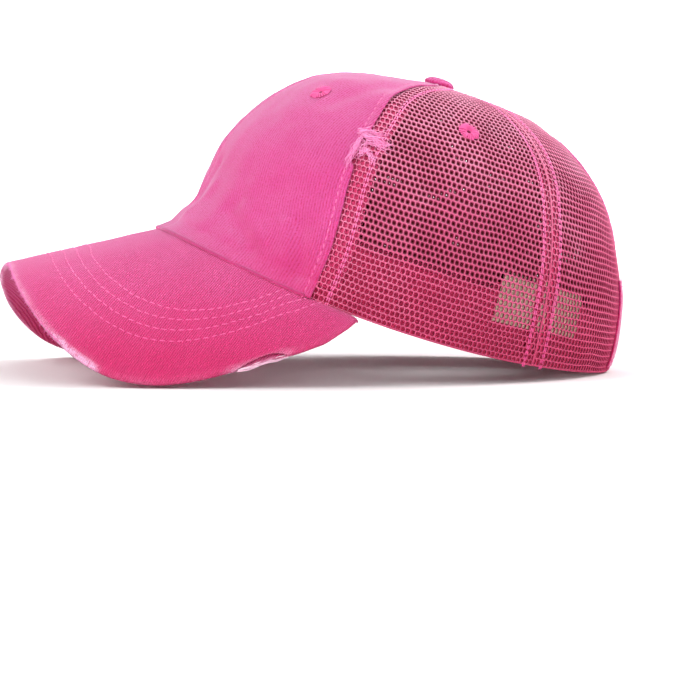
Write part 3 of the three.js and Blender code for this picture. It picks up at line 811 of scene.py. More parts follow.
laid = put(knit, "GeometryNodeInputPosition").outputs[0]
for scale, amount in ROW_DRIFTS:
    drift = put(knit, "ShaderNodeTexNoise", dict(Vector=laid, W=given["Seed"], Scale=scale, Detail=1.0),
                noise_dimensions="4D").outputs["Color"]
    drift = vector_math(knit, "SUBTRACT", drift, (0.5, 0.5, 0.5))
    drift = vector_math(knit, "SCALE", drift, product(knit, given["Waver"], amount))
    laid = vector_math(knit, "ADD", laid, drift)
top_of = axes_of(knit, on_sheet(named(knit, "span"), vector_of(knit, 0.0, 1.0))[0])["Z"]


def kept_within(place):
    """The nearest place between the sheet's two sides and its lower and upper edge."""
    spot = axes_of(knit, place)
    level = math_of(knit, "MINIMUM", spot["Y"], math_of(knit, "SUBTRACT", top_of, 0.01))
    level = math_of(knit, "MAXIMUM", level, 0.01)
    first, last, _ = span_at(level)
    return vector_of(knit, math_of(knit, "MAXIMUM", math_of(knit, "MINIMUM", spot["X"], last), first), level)


# The flat knit is laid on the sheet, then gets its thickness. Its holes are wider on the outside.
backing = on_sheet(named(knit, "backing"), kept_within(laid))[0]
opened = vector_math(knit, "ADD", laid, vector_math(knit, "MULTIPLY", named(knit, "widen"), backing))
flat_place = kept_within(opened)
held = on_sheet(put(knit, "GeometryNodeInputPosition").outputs[0], flat_place)
outwards = on_sheet(named(knit, "lift"), flat_place)[0]
widened = kept_within(vector_math(knit, "ADD", laid, named(knit, "widen")))
held_outside = on_sheet(put(knit, "GeometryNodeInputPosition").outputs[0], widened)
# Painted shade for the holes' walls and the net's back face, weaker where cloth lies close behind.
shade = product(knit, axes_of(knit, backing)["X"], 0.85)
off_sheet = math_of(knit, "SUBTRACT", 1.0, product(knit, held[1], held_outside[1]))
net = store(knit, net, "flare", vector_math(knit, "SUBTRACT", held_outside[0], held[0]))
net = store(knit, net, "shade", math_of(knit, "SUBTRACT", 1.0, shade), "FLOAT")
net = store(knit, net, "cloth", flat_place, "FLOAT2", "CORNER")
net = store(knit, net, "lift", outwards)
net = store(knit, net, "off", off_sheet, "FLOAT")
net = put(knit, "GeometryNodeSetPosition", dict(Geometry=net, Position=held[0])).outputs[0]
gone = math_of(knit, "GREATER_THAN", named(knit, "off", "FLOAT"), 0.5)
net = put(knit, "GeometryNodeDeleteGeometry", dict(Geometry=net, Selection=gone), domain="POINT").outputs[0]
net = put(knit, "GeometryNodeMergeByDistance", dict(Geometry=net, Distance=1e-5)).outputs[0]
sliver = math_of(knit, "LESS_THAN", put(knit, "GeometryNodeInputMeshFaceArea").outputs[0], 1e-9)
net = put(knit, "GeometryNodeDeleteGeometry", dict(Geometry=net, Selection=sliver), domain="FACE").outputs[0]
lift = named(knit, "lift")
inwards = vector_math(knit, "SCALE", lift, product(knit, given["Thickness"], -1.0))
net = put(knit, "GeometryNodeSetPosition", dict(Geometry=net, Offset=inwards)).outputs[0]
net = store(knit, net, "inner", named(knit, "shade", "FLOAT"), "FLOAT")
grown = put(knit, "GeometryNodeExtrudeMesh", {"Mesh": net, "Offset": lift, "Offset Scale": given["Thickness"],
                                              "Individual": False}).outputs
crest = vector_math(knit, "SCALE", lift, product(knit, named(knit, "strand", "FLOAT"), given["Yarn_Crown"]))
crest = vector_math(knit, "ADD", crest, named(knit, "flare"))
front_face = put(knit, "GeometryNodeSetPosition",
                 dict(Geometry=grown["Mesh"], Selection=grown["Top"], Offset=crest)).outputs[0]
front_face = store(knit, front_face, "inner", 0.0, "FLOAT", Selection=grown["Top"])
both = put(knit, "GeometryNodeJoinGeometry")
knit.links.new(front_face, both.inputs[0])
knit.links.new(put(knit, "GeometryNodeFlipFaces", dict(Mesh=net)).outputs[0], both.inputs[0])
net = put(knit, "GeometryNodeMergeByDistance", dict(Geometry=both.outputs[0], Distance=2e-6)).outputs[0]
finish_tree(knit, net, made["Net"], given["Yarn"])

net_pink = cloth_material("knitted net", body=srgb(220, 102, 142), deep=srgb(184, 34, 74),
                          lit_and_mottled=srgb(250, 174, 204), pitch=0.35, slant=0.5, fade=0.9, low=0.45, mottle=0.25,
                          relief=0.4, depth=0.00008, fuzz=0.8)
# Painted shade: a dark colour on the holes' walls and the net's back face, for the shade inside the net.
NET_HOLE_SHADE = srgb(84, 0, 20)     # the inside of the net, where no light falls
net_tree = net_pink.node_tree
net_shader = net_tree.nodes["Principled BSDF"]
painted_hole_shade = put(net_tree, "ShaderNodeAttribute", attribute_name="inner").outputs["Fac"]
painted_hole_shade = math_of(net_tree, "POWER", painted_hole_shade, 0.18)
outer_colour = net_shader.inputs["Base Color"].links[0].from_socket
net_tree.links.new(blend(net_tree, painted_hole_shade, outer_colour, NET_HOLE_SHADE), net_shader.inputs["Base Color"])
net_shader.inputs["Sheen Weight"].default_value = 0.0
net_shader.inputs["Specular IOR Level"].default_value = 0.08


opening_foot, opening_top = (smooth_crown(180, OPENING_MIDDLE + end * OPENING_REACH) for end in (-1, 1))
opening_half = np.linalg.norm(opening_top - opening_foot) / 2


def in_opening(points, grow):
    """Whether points of the crown lie in the oval opening at the back, widened by a length."""
    up = unit(opening_top - opening_foot)
    rise = (points - smooth_crown(180, OPENING_MIDDLE)) @ up / (opening_half + grow)
    width = points[..., 0] / (OPENING_HALF_WIDTH + grow)
    return (rise ** 2 + width ** 2 < 1) & (points[..., 1] > 0)


def net_piece(name, grid, seed, cut=False):
    """Knits a net onto a grid of the crown, left open inside the oval at the back."""
    rows, columns = grid["across"].shape
    half = grid["across"][:, -1:] / 2
    level = np.broadcast_to(grid["up"][:, [columns // 2]], (rows, columns))
    map_mm = np.stack([grid["across"] - half, level], axis=-1)
    index = np.arange(rows * columns).reshape(rows, columns)
    quads, maps = cells_of(index, map_mm)
    if cut:
        kept = ~in_opening(grid["points"], NET_UNDER_BINDING).ravel()[quads].any(axis=1)
        quads, maps = quads[kept], maps[kept]
    height = float(map_mm[-1, 0, 1])
    inset = 0.002
    span = np.stack([-half + inset, half - inset, np.full(half.shape, height)], axis=-1)
    span = np.broadcast_to(span, grid["points"].shape).reshape(-1, 3)
    lift = turn_to_room(grid["normal"]).reshape(-1, 3)
    maps = maps / MAP_SIZE + np.array([0.5, 0.0])
    backing = np.repeat(grid["backing"].reshape(-1, 1), 3, axis=1)
    piece = new_piece(name, grid["points"].reshape(-1, 3), quads.tolist(), maps, span=span, lift=lift,
                      backing=backing)
    columns = int(grid["across"][:, -1].max() / HOLE_PITCH) + 4
    apply_tree(piece, knit, columns=columns, rows=int(height / ROW_PITCH) + 2, hole_pitch=HOLE_PITCH,
               row_pitch=ROW_PITCH, hole_width=HOLE_WIDTH, hole_height=HOLE_HEIGHT,
               hole_inside=HOLE_INSIDE, thickness=NET_THICKNESS / 1000, yarn_crown=YARN_CROWN / 1000,
               waver=NET_WAVER, seed=seed, yarn=net_pink)
    return piece


def net_relief(under, seam_ends):
    """The net dips under the twill at one end and into the seams at the others."""
    def relief(grid):
        _, _, left, right = side_distances(grid)
        dip = 0.2 * rumple(grid["points"], 17, 6.3)
        for end, distance in (("left", left), ("right", right)):
            if end == under:
                dip = dip - NET_DIP * np.clip(1.45 - distance / NET_UNDER_TWILL, 0, 1)
            if end in seam_ends:
                dip = dip - 0.3 * np.exp(-((distance / 1.2) ** 2)) + groove(distance, 3.4, 0.9, 0.25)
        return dip
    return relief


def cloth_behind(grid, front_end, back_ends):
    """Where tape, label or sweatband lies close behind the net, from 0 to 1."""
    _, _, left, right = side_distances(grid)
    ends = dict(left=left, right=right)
    angle, climb = grid["angle"], grid["climb"]
    reach = TAPES["front"]["shift"] + TAPES["front"]["width"] / 2 + NET_UNDER_TWILL
    behind = np.zeros(angle.shape)
    if front_end:
        behind = np.clip((reach - ends[front_end]) / 1.5 + 0.5, 0, 1)
    for end in back_ends:
        behind = np.maximum(behind, np.clip((TAPES["back"]["width"] / 2 - ends[end]) / 1.5 + 0.5, 0, 1))
    behind = behind * np.clip((TAPE_TOP - climb) / 0.02, 0, 1)
    behind = np.maximum(behind, NET_OVER_BAND_SHARE * np.clip((NET_OVER_BAND - climb) / 0.02, 0, 1))
    label = NET_OVER_LABEL
    in_label = (angle > label["start"]) & (angle < label["end"])
    in_label = in_label & (climb > label["bottom"]) & (climb < label["top"])
    return np.maximum(behind, in_label)


for name, side in sides.items():
    ends = ["left", "right"][::side]
    edges = [seam_angle("front", side, -NET_UNDER_TWILL), seam_angle("back", side, -SEAM_GAP)][::side]
    grids["side", side] = crown_grid(*edges, 0, PANEL_TOP, 0, NET_STEP, net_relief(ends[0], ends[1:]))
    grids["side", side]["backing"] = cloth_behind(grids["side", side], ends[0], ends[1:])
    knitted = net_piece(f"net_side_{name}", grids["side", side], 2.0 + side)
    dress(knitted, None, "mesh", f"side_mesh_{name}")
    edges = [seam_angle("back", side, SEAM_GAP), middle_angle(180, side)][::side]
    grids["back", side] = crown_grid(*edges, 0, PANEL_TOP, 0, NET_STEP * 0.6, net_relief(None, ends))
    grids["back", side]["backing"] = cloth_behind(grids["back", side], None, ends[:1])
    knitted = net_piece(f"net_back_{name}", grids["back", side], 6.0 + side, cut=True)
    dress(knitted, None, "mesh", f"back_mesh_{name}")


# Seam cords and the rim's fold: where net meets net, and where it is turned up at the rim, the
# yarns bunch into a thin soft edge.
SEAM_CORD = 0.42
CORD_INSIDE = -0.25
RIM_FOLD_INSIDE = -0.35
RIM_FOLD_UP = 0.003
CORD_SHORT = 0.03               # the middle cord stops this climb short of the opening

climbs = np.linspace(0.004, PANEL_TOP, 70)
low = climbs[climbs < OPENING_MIDDLE - OPENING_REACH - CORD_SHORT]
high = climbs[climbs > OPENING_MIDDLE + OPENING_REACH + CORD_SHORT]
rim_angles = np.linspace(SEAMS[0]["front"] + 1, 360 - SEAMS[0]["front"] - 1, 200)
cord_runs = [crown_run(seam_angle("back", side)(climbs), climbs, CORD_INSIDE) for side in sides.values()]
cord_runs += [crown_run(180.0, part, CORD_INSIDE) for part in (low, high)]
cord_runs.append(crown_run(rim_angles, RIM_FOLD_UP, RIM_FOLD_INSIDE))
dress(tube_piece("net_seam_cords", cord_runs, SEAM_CORD), net_pink, "mesh")


# Seam tapes: flat woven cotton tape sewn over the raw edges inside each seam. Under the net they
# show as bands of a stronger pink.
TAPE_THICKNESS = 0.7
TAPE_INSIDE = -0.8
TAPE_UNDER_TWILL = -1.6         # deeper where the twill's turned edge lies over the net
TAPE_VALLEY = 0.35              # along the middle of the back tapes, under the seam
TAPE_STEP = 1.5

tape_pink = cloth_material("seam tape", body=srgb(255, 74, 132), deep=srgb(236, 44, 100),
                           lit_and_mottled=srgb(255, 112, 164), pitch=0.7, slant=0.0, fade=0.5, relief=0.4)


def tape_relief(seam, side):
    def relief(grid):
        _, _, left, right = side_distances(grid)
        front = left if side > 0 else right
        deep = np.clip((5.2 - front) / 2.5, 0, 1) if seam == "front" else 0
        middle = np.exp(-(((left - right) / 3.0) ** 2)) if seam == "back" else 0
        soft = 0.2 * rumple(grid["points"], 17, 6.3)
        return (TAPE_UNDER_TWILL - TAPE_INSIDE) * deep + soft - TAPE_VALLEY * middle
    return relief


for name, side in sides.items():
    for seam, size in TAPES.items():
        edges = [seam_angle(seam, side, size["shift"] + end * size["width"] / 2) for end in (-1, 1)][::side]
        tape = crown_grid(*edges, TAPE_BOTTOM, TAPE_TOP, TAPE_INSIDE, TAPE_STEP, tape_relief(seam, side))
        piece = cloth_piece(f"tape_{seam}_{name}", tape, TAPE_THICKNESS)
        dress(piece, tape_pink, "tape", f"{seam}_seam_tape_{name}")


# Stitches: each seam is topstitched in a thread a little paler than the cloth. A stitch is a short
# length of thread that sinks into the cloth at both ends.
STITCH = dict(length=2.3, gap=0.7, width=0.52)              # mm
SEAM_STITCH = dict(length=2.2, gap=0.15, width=0.55)
FRONT_TAPE_ROWS = (6.0, 6.9)    # mm from the turned edge of the twill
BACK_TAPE_ROWS = (4.0, 4.8)     # mm from the seam
THREAD_SINK = 0.05
THREAD_OVER_NET = 0.1

stitcher, given, made = new_group(
    "stitches", "GeometryNodeTree",
    dict(
        Lines=("Geometry", None),
        Length=("Float", 0.002),
        Gap=("Float", 0.001),
        Width=("Float", 0.0005),
        Seed=("Int", 3),
        Thread=("Material", None),
    ),
    dict(Stitches="Geometry"),
)
lines = put(stitcher, "GeometryNodeMeshToCurve", dict(Mesh=given["Lines"])).outputs[0]
spaced = dict(Curve=lines, Length=total(stitcher, given["Length"], given["Gap"]))
lines = put(stitcher, "GeometryNodeResampleCurve", spaced, mode="LENGTH").outputs[0]
tangent = put(stitcher, "GeometryNodeInputTangent").outputs[0]
facing = facing_of(stitcher, tangent, named(stitcher, "lift"), "X", "Z")
wobble = random_vector(stitcher, (-0.05, -0.05, -0.16), (0.05, 0.05, 0.16), given["Seed"])
facing = put(stitcher, "FunctionNodeRotateRotation", {0: facing, 1: wobble}, rotation_space="LOCAL")
facing = facing.outputs[0]
half_length = product(stitcher, given["Length"], random_number(stitcher, 0.42, 0.56, given["Seed"]))
half_width = product(stitcher, given["Width"], 0.5)
bead = put(stitcher, "GeometryNodeMeshUVSphere", dict(Segments=8, Rings=6, Radius=1.0)).outputs[0]
sewn = copies_on(stitcher, lines, bead, facing, vector_of(stitcher, half_length, half_width, half_width))
finish_tree(stitcher, sewn, made["Stitches"], given["Thread"])


def line_on(grid, side, distance, sink=0.0):
    """A line on a grid at a distance from one of its sides: its points and their normals."""
    rows = side in ("left", "right")
    lengths = grid["across"] if rows else grid["up"].T
    at = distance if side in ("left", "bottom") else lengths[:, -1] - distance
    at = np.broadcast_to(at, lengths.shape[:1])
    found = []
    for values in (grid["points"], grid["normal"]):
        values = values if rows else values.swapaxes(0, 1)
        found.append(np.array([[np.interp(place, length, value[:, k]) for k in range(3)]
                               for place, length, value in zip(at, lengths, values)]))
    keep = (at > 0.5) & (at < lengths[:, -1] - 0.5)
    points, normals = found[0][keep], unit(found[1][keep])
    return points - normals * sink, normals


def guide_piece(name, lines, **attributes):
    """Lines of points as edges, with a normal at each, for a tree of nodes to follow."""
    points = np.concatenate([line[0] for line in lines])
    lift = turn_to_room(np.concatenate([line[1] for line in lines]))
    edges, start = [], 0
    for line in lines:
        edges += [(start + k, start + k + 1) for k in range(len(line[0]) - 1)]
        start += len(line[0])
    return new_piece(name, points, edges, lift=lift, **attributes)


thread_pink = cloth_material("sewing thread", body=srgb(244, 118, 176), deep=srgb(222, 74, 136),
                             lit_and_mottled=srgb(252, 162, 206), pitch=0.3, fade=0.6, relief=0.0, depth=0.00003)


def sew(name, lines, seed, **size):
    """Sews stitches along lines."""
    metres = {key: value / 1000 for key, value in {**STITCH, **size}.items()}
    piece = guide_piece(name, [line for line in lines if len(line[0]) > 1])
    apply_tree(piece, stitcher, **metres, seed=seed, thread=thread_pink)
    dress(piece, None, "thread")


for name, side in sides.items():
    near, far = ["left", "right"][::side]
    edge = line_on(grids["front", side], far, TOPSTITCH, THREAD_SINK)
    whole = [slice(None)]
    if side > 0:
        climb = np.linspace(0, PANEL_TOP, len(edge[0]))
        low_end, high_end = (SEAM_TEAR["climb"] + end * SEAM_TEAR["half_height"] for end in (-1, 1))
        whole = [climb < low_end, climb > high_end]
    sew(f"topstitch_front_{name}", [(edge[0][part], edge[1][part]) for part in whole], seed=4)
    sew(f"tape_stitches_front_{name}", [
        line_on(grids["side", side], near, NET_UNDER_TWILL + place, -THREAD_OVER_NET)
        for place in FRONT_TAPE_ROWS
    ], seed=4, **SEAM_STITCH)
    middle = line_on(grids["front", side], near, CENTRE_STITCH, THREAD_SINK)
    sew(f"topstitch_middle_{name}", [middle], seed=5)
    sew(f"tape_stitches_back_{name}", [
        line_on(grids[panel, side], end, place, -THREAD_OVER_NET)
        for panel, end in (("side", far), ("back", near)) for place in BACK_TAPE_ROWS
    ], seed=6, **SEAM_STITCH)


# Sweatband: a strip of soft cotton folded over and sewn round the rim inside. It stands a little
# off the net above its fold and shows through it as a deeper pink.
BAND_TOP = 0.235
BAND_THICKNESS = 1.2
BAND_STAND_OFF = 1.7
BAND_FOLD = 0.05
BAND_RIM = 1.5
BAND_STEP = 2.2
BAND_SEAM = 3.0                 # mm below its upper edge

band_pink = cloth_material("sweatband cotton", body=srgb(255, 66, 120), deep=srgb(240, 40, 92),
                           lit_and_mottled=srgb(255, 110, 150), pitch=0.8, slant=0.8, fade=0.5, low=0.3, relief=0.3)


def eased(first, last, share):
    """From one value to another by a share, without a corner at either."""
    share = np.clip(share, 0, 1)
    return first + (last - first) * share * share * (3 - 2 * share)


def band_out(climb):
    return -eased(BAND_RIM, BAND_STAND_OFF, climb / BAND_FOLD)


def band_relief(grid):
    top = side_distances(grid)[1]
    return groove(top, BAND_SEAM, 0.8, 0.3) + 0.25 * rumple(grid["points"], 14, 2.2)


def fixed_angle(angle):
    """One angle for every climb."""
    return lambda climb: np.full(np.shape(climb), float(angle))


band = crown_grid(fixed_angle(-180), fixed_angle(180), 0, BAND_TOP, band_out, BAND_STEP, band_relief)
sweatband = cloth_piece("cotton_sweatband", band, BAND_THICKNESS, ring=True)
dress(sweatband, band_pink, "sweatband", "sweatband")


# Label: a blank woven patch between the net and the sweatband, cut straight, folded under at both
# ends and tacked there.
LABEL = dict(start=107, end=134, bottom=0.13, top=0.275)
LABEL_THICKNESS = 0.5
LABEL_INSIDE = -0.95
LABEL_STEP = 1.6

label_cloth = cloth_material("label weave", body=srgb(255, 226, 200), deep=srgb(226, 180, 158),
                             lit_and_mottled=srgb(255, 240, 224), pale=srgb(240, 230, 220), pitch=0.5, slant=0.0,
                             fade=0.4)
patch = crown_grid(fixed_angle(LABEL["start"]), fixed_angle(LABEL["end"]), LABEL["bottom"], LABEL["top"],
                   LABEL_INSIDE, LABEL_STEP)
dress(cloth_piece("woven_label", patch, LABEL_THICKNESS), label_cloth, "label", "label")


# Opening at the back: the net's cut edge round the oval is bound with a folded strip of twill,
# sewn through near both of its edges.
BINDING_THICKNESS = 2.0
BINDING_PROUD = 0.5
BINDING_ROWS = 1.1              # mm from each edge to its row of stitches
BINDING_TURNS = 150


def opening_grid():
    """A grid round the oval opening: turns in its rows, widths outwards from it in its columns."""
    turn = np.linspace(0, 2 * math.pi, BINDING_TURNS)
    width = shares(BINDING_WIDTH, 2.0)[:, None] * BINDING_WIDTH
    reach = OPENING_REACH * (1 + width / opening_half)
    climb = OPENING_MIDDLE + reach * np.cos(turn)
    span = (OPENING_HALF_WIDTH + width) * np.sin(turn)
    angle = 180 - degrees_for(span, 180.0, climb)
    base = smooth_crown(angle, climb)
    normal = crown_normal(angle, climb)
    grid = lay_out(base, normal)
    bottom, top = side_distances(grid, ring=True)
    lift = BINDING_PROUD + groove(np.minimum(bottom, top), BINDING_ROWS, 0.4, 0.25)
    lift = lift + 0.15 * rumple(base, 3.5, 4.4)
    grid["points"] = base + normal * lift[..., None]
    return grid


binding = opening_grid()
bound_edge = cloth_piece("bound_edge", binding, BINDING_THICKNESS, ring=True, flip=True)
dress(bound_edge, twill, "twill", "opening_binding")
sew("binding_stitches", [line_on(binding, end, BINDING_ROWS) for end in ("bottom", "top")], seed=8)


# Closure: the plain tab of the strap below the opening, two layers of twill sewn round their edge
# and closed with a patch that grips.
TAB_HALF_WIDTH = 30
TAB_THICKNESS = 1.0
TAB_BOTTOM, TAB_TOP = 0.03, 0.33
TAB_PROUD = 1.0
TAB_STEP = 1.6
TAB_ROW = 2.4                   # mm from its edge to its row of stitches


def tab_edge(end):
    """The angle of one end of the tab at a climb, the same length from the middle all the way up."""
    return lambda climb: 180 + end * degrees_for(TAB_HALF_WIDTH, 180.0, climb)


def tab_relief(grid):
    nearest = np.minimum.reduce(side_distances(grid))
    return groove(nearest, TAB_ROW, 0.6, 0.25) + 0.2 * rumple(grid["points"], 9, 7.7)


tab = crown_grid(tab_edge(-1), tab_edge(1), TAB_BOTTOM, TAB_TOP, TAB_PROUD, TAB_STEP, tab_relief)
dress(cloth_piece("strap_tab", tab, TAB_THICKNESS), twill, "twill", "closure_tab")
sew("tab_stitches", [line_on(tab, end, TAB_ROW) for end in ("left", "right", "bottom", "top")], seed=9)


# Peak: a curved board covered above and below in twill. The two covers meet in a rounded edge,
# which is rubbed pale and torn in places, and four rows of stitches follow it.
PEAK_LENGTH = 64.3
PEAK_PITCH = math.radians(29.8)
PEAK_ARC = 95.3
PEAK_CURL = 0.22
PEAK_FLARE = 0.295
PEAK_END_ANGLE = 76.4
PEAK_OVERHANG = 7.9
PEAK_UNDER_HEM = 0.5
PEAK_CLOTH = 0.8
PEAK_STACK = 4.0
PEAK_EDGE = 2.4                 # the covers close in on each other towards the edge
PEAK_EDGE_REACH = 9.0
PEAK_END = 1.3                  # and towards the ends, where they are sewn into the rim
PEAK_END_REACH = 0.12           # of the way from the middle to an end
EDGE_ROLL = 1.15
PEAK_ENDS = 0.985               # the covers stop just short of the ends
PEAK_STEP = 2.0
PEAK_COLUMNS = 215
BOARD_INSET = 3.4
BOARD_FROM_RIM = 1.2
BOARD_THICKNESS = 0.9
BOARD_STEP = 3.0
BOARD_COLUMNS = 160
PEAK_OUTLINE = [
    dict(side=0.000, overhang=0.000, reach=1.000),
    dict(side=0.313, overhang=0.313, reach=0.986),
    dict(side=0.529, overhang=0.529, reach=0.939),
    dict(side=0.698, overhang=0.698, reach=0.859),
    dict(side=0.838, overhang=0.838, reach=0.735),
    dict(side=0.930, overhang=0.930, reach=0.578),
    dict(side=0.981, overhang=0.981, reach=0.387),
    dict(side=1.000, overhang=0.890, reach=0.200),
    dict(side=1.000, overhang=0.590, reach=0.070),
    dict(side=1.000, overhang=0.200, reach=0.000),
]
STITCH_ROWS = [17.5, 22.9, 28.3, 33.7]      # mm from the edge
SAG = [(0.68, 0.0), (0.75, 1.2), (0.8, 3.8), (0.85, 5.6), (0.9, 5.2), (0.95, 3.6), (1.0, 0.8)]
TEAR = dict(along=0.742, half_width=0.04, depth=1.9)
WEAR = [(-1, 0.1), (-0.42, 0.1), (-0.38, 0.6), (0.3, 0.6), (0.335, 1.6), (0.44, 1.7), (0.47, 0.15),
        (0.68, 0.1), (0.7, 0.7), (0.78, 0.7), (0.8, 0.1), (1, 0.05)]


def peak_height(x, y):
    drop = PEAK_ARC - np.sqrt(np.maximum(PEAK_ARC ** 2 - x * x, 1))
    drop = drop * (1 + PEAK_CURL * (x / RIM_SIDE) ** 2)
    drop = drop * (1 + PEAK_FLARE * (-y - RIM_FRONT) / PEAK_LENGTH)
    return (RIM_FRONT + y) * math.tan(PEAK_PITCH) - drop / math.cos(PEAK_PITCH)


def peak_face(along, out):
    """The peak's upper face: -1 to 1 between its ends, and 0 at the rim to 1 at its edge."""
    along, out = np.broadcast_arrays(along, out)
    rim = smooth_crown(PEAK_END_ANGLE * along, 0.0)
    end = smooth_crown(PEAK_END_ANGLE, 0.0)
    share = np.abs(along)
    side = read(PEAK_OUTLINE, "side", share) * end[0]
    overhang = read(PEAK_OUTLINE, "overhang", share) * PEAK_OVERHANG
    reach = RIM_FRONT + PEAK_LENGTH * math.cos(PEAK_PITCH) + end[1]
    edge_y = end[1] - read(PEAK_OUTLINE, "reach", share) * reach
    x = rim[..., 0] + (np.sign(along) * (side + overhang) - rim[..., 0]) * out
    y = rim[..., 1] + (edge_y - rim[..., 1]) * out
    hold = 1 - out * (1 - share ** 8)
    step = rim[..., 2] - peak_height(rim[..., 0], rim[..., 1])
    return np.stack([x, y, peak_height(x, y) + hold * step], axis=-1)


def peak_width(along):
    return np.linalg.norm(peak_face(along, 1.0) - peak_face(along, 0.0), axis=-1)


def from_pairs(pairs, along):
    """A value read between pairs of a place along the peak and an amount."""
    return np.interp(along, [place for place, _ in pairs], [amount for _, amount in pairs])


def peak_down(along, out):
    across = peak_face(np.minimum(along + 0.01, 1), out) - peak_face(np.maximum(along - 0.01, -1), out)
    forwards = peak_face(along, out + 0.01) - peak_face(along, out - 0.01)
    return unit(np.cross(across, forwards))


def from_end(along):
    """0 at the peak's ends and 1 from a little way along."""
    return np.clip((1 - np.abs(along)) / PEAK_END_REACH, 0, 1)


def under_depth(edge, along):
    """How far the under cover's face lies below the upper one."""
    return eased(PEAK_END, eased(PEAK_EDGE, PEAK_STACK, edge / PEAK_EDGE_REACH), from_end(along))


def roll(distance):
    """How far the covers turn in towards each other near the peak's edge."""
    left = EDGE_ROLL - np.clip(distance, 0, EDGE_ROLL)
    return EDGE_ROLL - np.sqrt(np.maximum(EDGE_ROLL ** 2 - left ** 2, 0))


def full_width(along):
    """The share of the width at which the edge lies: worn cloth sags outwards near the ends."""
    return 1 + from_pairs(SAG, np.abs(along)) / peak_width(along)


def torn_back(along):
    share = (along - TEAR["along"]) / TEAR["half_width"]
    return TEAR["depth"] * np.clip(1 - share ** 2, 0, 1) ** 0.7


def unrolled(points):
    """Straight grain for cloth on the peak: mm across it and forwards along it."""
    across = np.arcsin(np.clip(points[..., 0] / PEAK_ARC, -1, 1)) * PEAK_ARC
    return np.stack([across, -points[..., 1] / math.cos(PEAK_PITCH)], axis=-1)


def peak_grid(is_upper):
    """The outer face of the upper or the under cover, from one end of the peak to the other."""
    along = np.linspace(-PEAK_ENDS, PEAK_ENDS, PEAK_COLUMNS)
    width = peak_width(along)
    full = full_width(along)
    last = full - (torn_back(along) / width if is_upper else 0)
    first = -PEAK_UNDER_HEM / width if is_upper else PEAK_UNDER_HEM / width
    out = first + (last - first) * shares(PEAK_LENGTH, PEAK_STEP)[:, None]
    base = peak_face(along, out)
    down = peak_down(along, out)
    edge = (full - out) * width
    turned = roll(edge)
    soft = 0.18 * rumple(base, 16, 1.7) + 0.1 * rumple(base, 5, 8.2)
    lines = sum(groove(edge, row, 0.7, 0.22) for row in STITCH_ROWS)
    depth = turned - soft - lines if is_upper else under_depth(edge, along) - turned - soft
    grid = lay_out(base, -down if is_upper else down)
    grid["map"] = unrolled(base)
    grid["points"] = base + down * depth[..., None]
    grid["edge"] = edge
    grid["along"] = np.broadcast_to(along, edge.shape)
    return grid


def rubbed(grid, reach):
    """How far the edge's dye is rubbed off, by the distance from it and an uneven wear."""
    spot = 0.8 + 0.6 * rumple(grid["points"], 9, 4.1) + 0.5 * rumple(grid["points"], 2.2, 6.6)
    return np.clip((1.2 - grid["edge"] / reach) * spot * from_pairs(WEAR, grid["along"]), 0, 1)


peak_twill = cloth_material("washed twill of the peak", body=srgb(234, 82, 160), deep=srgb(212, 36, 98),
                            lit_and_mottled=srgb(244, 134, 204), slant=0.88, pitch=1.08, relief=1.2, ribs=1.3,
                            fuzz=0.9, painted_sheen=0.3)
upper_grid, under_grid = peak_grid(True), peak_grid(False)
upper = cloth_piece("peak_cover_upper", upper_grid, PEAK_CLOTH, wear=rubbed(upper_grid, 2.3))
dress(upper, peak_twill, "twill", "peak_upper_cloth")
under = cloth_piece("peak_cover_under", under_grid, PEAK_CLOTH, wear=rubbed(under_grid, 1.4), flip=True)
dress(under, peak_twill, "twill", "peak_under_cloth")


def board_grid():
    along = np.linspace(-PEAK_ENDS, PEAK_ENDS, BOARD_COLUMNS)
    width = peak_width(along)
    inset = np.minimum(BOARD_INSET, width * 0.4)
    reach = 1 - (inset + BOARD_FROM_RIM) / width
    out = BOARD_FROM_RIM / width + reach * shares(PEAK_LENGTH, BOARD_STEP)[:, None]
    base = peak_face(along, out)
    down = peak_down(along, out)
    grid = lay_out(base, -down)
    grid["points"] = base + down * (PEAK_CLOTH * (0.6 + 0.5 * from_end(along)))[..., None]
    return grid


board_pink = cloth_material("board in the tear", body=srgb(244, 60, 120), deep=srgb(214, 36, 88),
                            lit_and_mottled=srgb(250, 90, 150), pitch=0.8, fade=0.4, low=0.3)
board = cloth_piece("stiff_board", board_grid(), BOARD_THICKNESS)
dress(board, board_pink, "board", "peak_board")


def row_on_peak(row):
    """One row of stitches along the peak, a little unsteady, and the cover's normals under it."""
    edge, points, normals = upper_grid["edge"], [], []
    for k in range(edge.shape[1]):
        sway = 0.35 * noise.noise(Vector((k * 0.21, row, 0.0)))
        sway += 0.2 * noise.noise(Vector((k * 0.9, row, 3.0)))
        distance = row + sway
        if edge[0, k] > distance + 0.8:
            column = upper_grid["points"][:, k]
            points.append([np.interp(-distance, -edge[:, k], column[:, axis]) for axis in range(3)])
            normals.append(upper_grid["normal"][np.argmin(np.abs(edge[:, k] - distance)), k])
    return np.array(points), np.array(normals)


sew("peak_stitches", [row_on_peak(row) for row in STITCH_ROWS], seed=11, length=2.9, gap=0.5, width=0.55)


# Button: a metal disc covered in twill. Its edge is drawn in below, and its shank goes through the
# crown's top, where the six panels meet, and holds it there.
BUTTON_RADIUS = 6.5
BUTTON_HEIGHT = 3.5
BUTTON_SEAT = -0.5
BUTTON_SIDE = 0.9
BUTTON_SHANK = 1.6
BUTTON_SHANK_DEPTH = 2.4
BUTTON_TURNS = 48
BUTTON_RINGS = 15

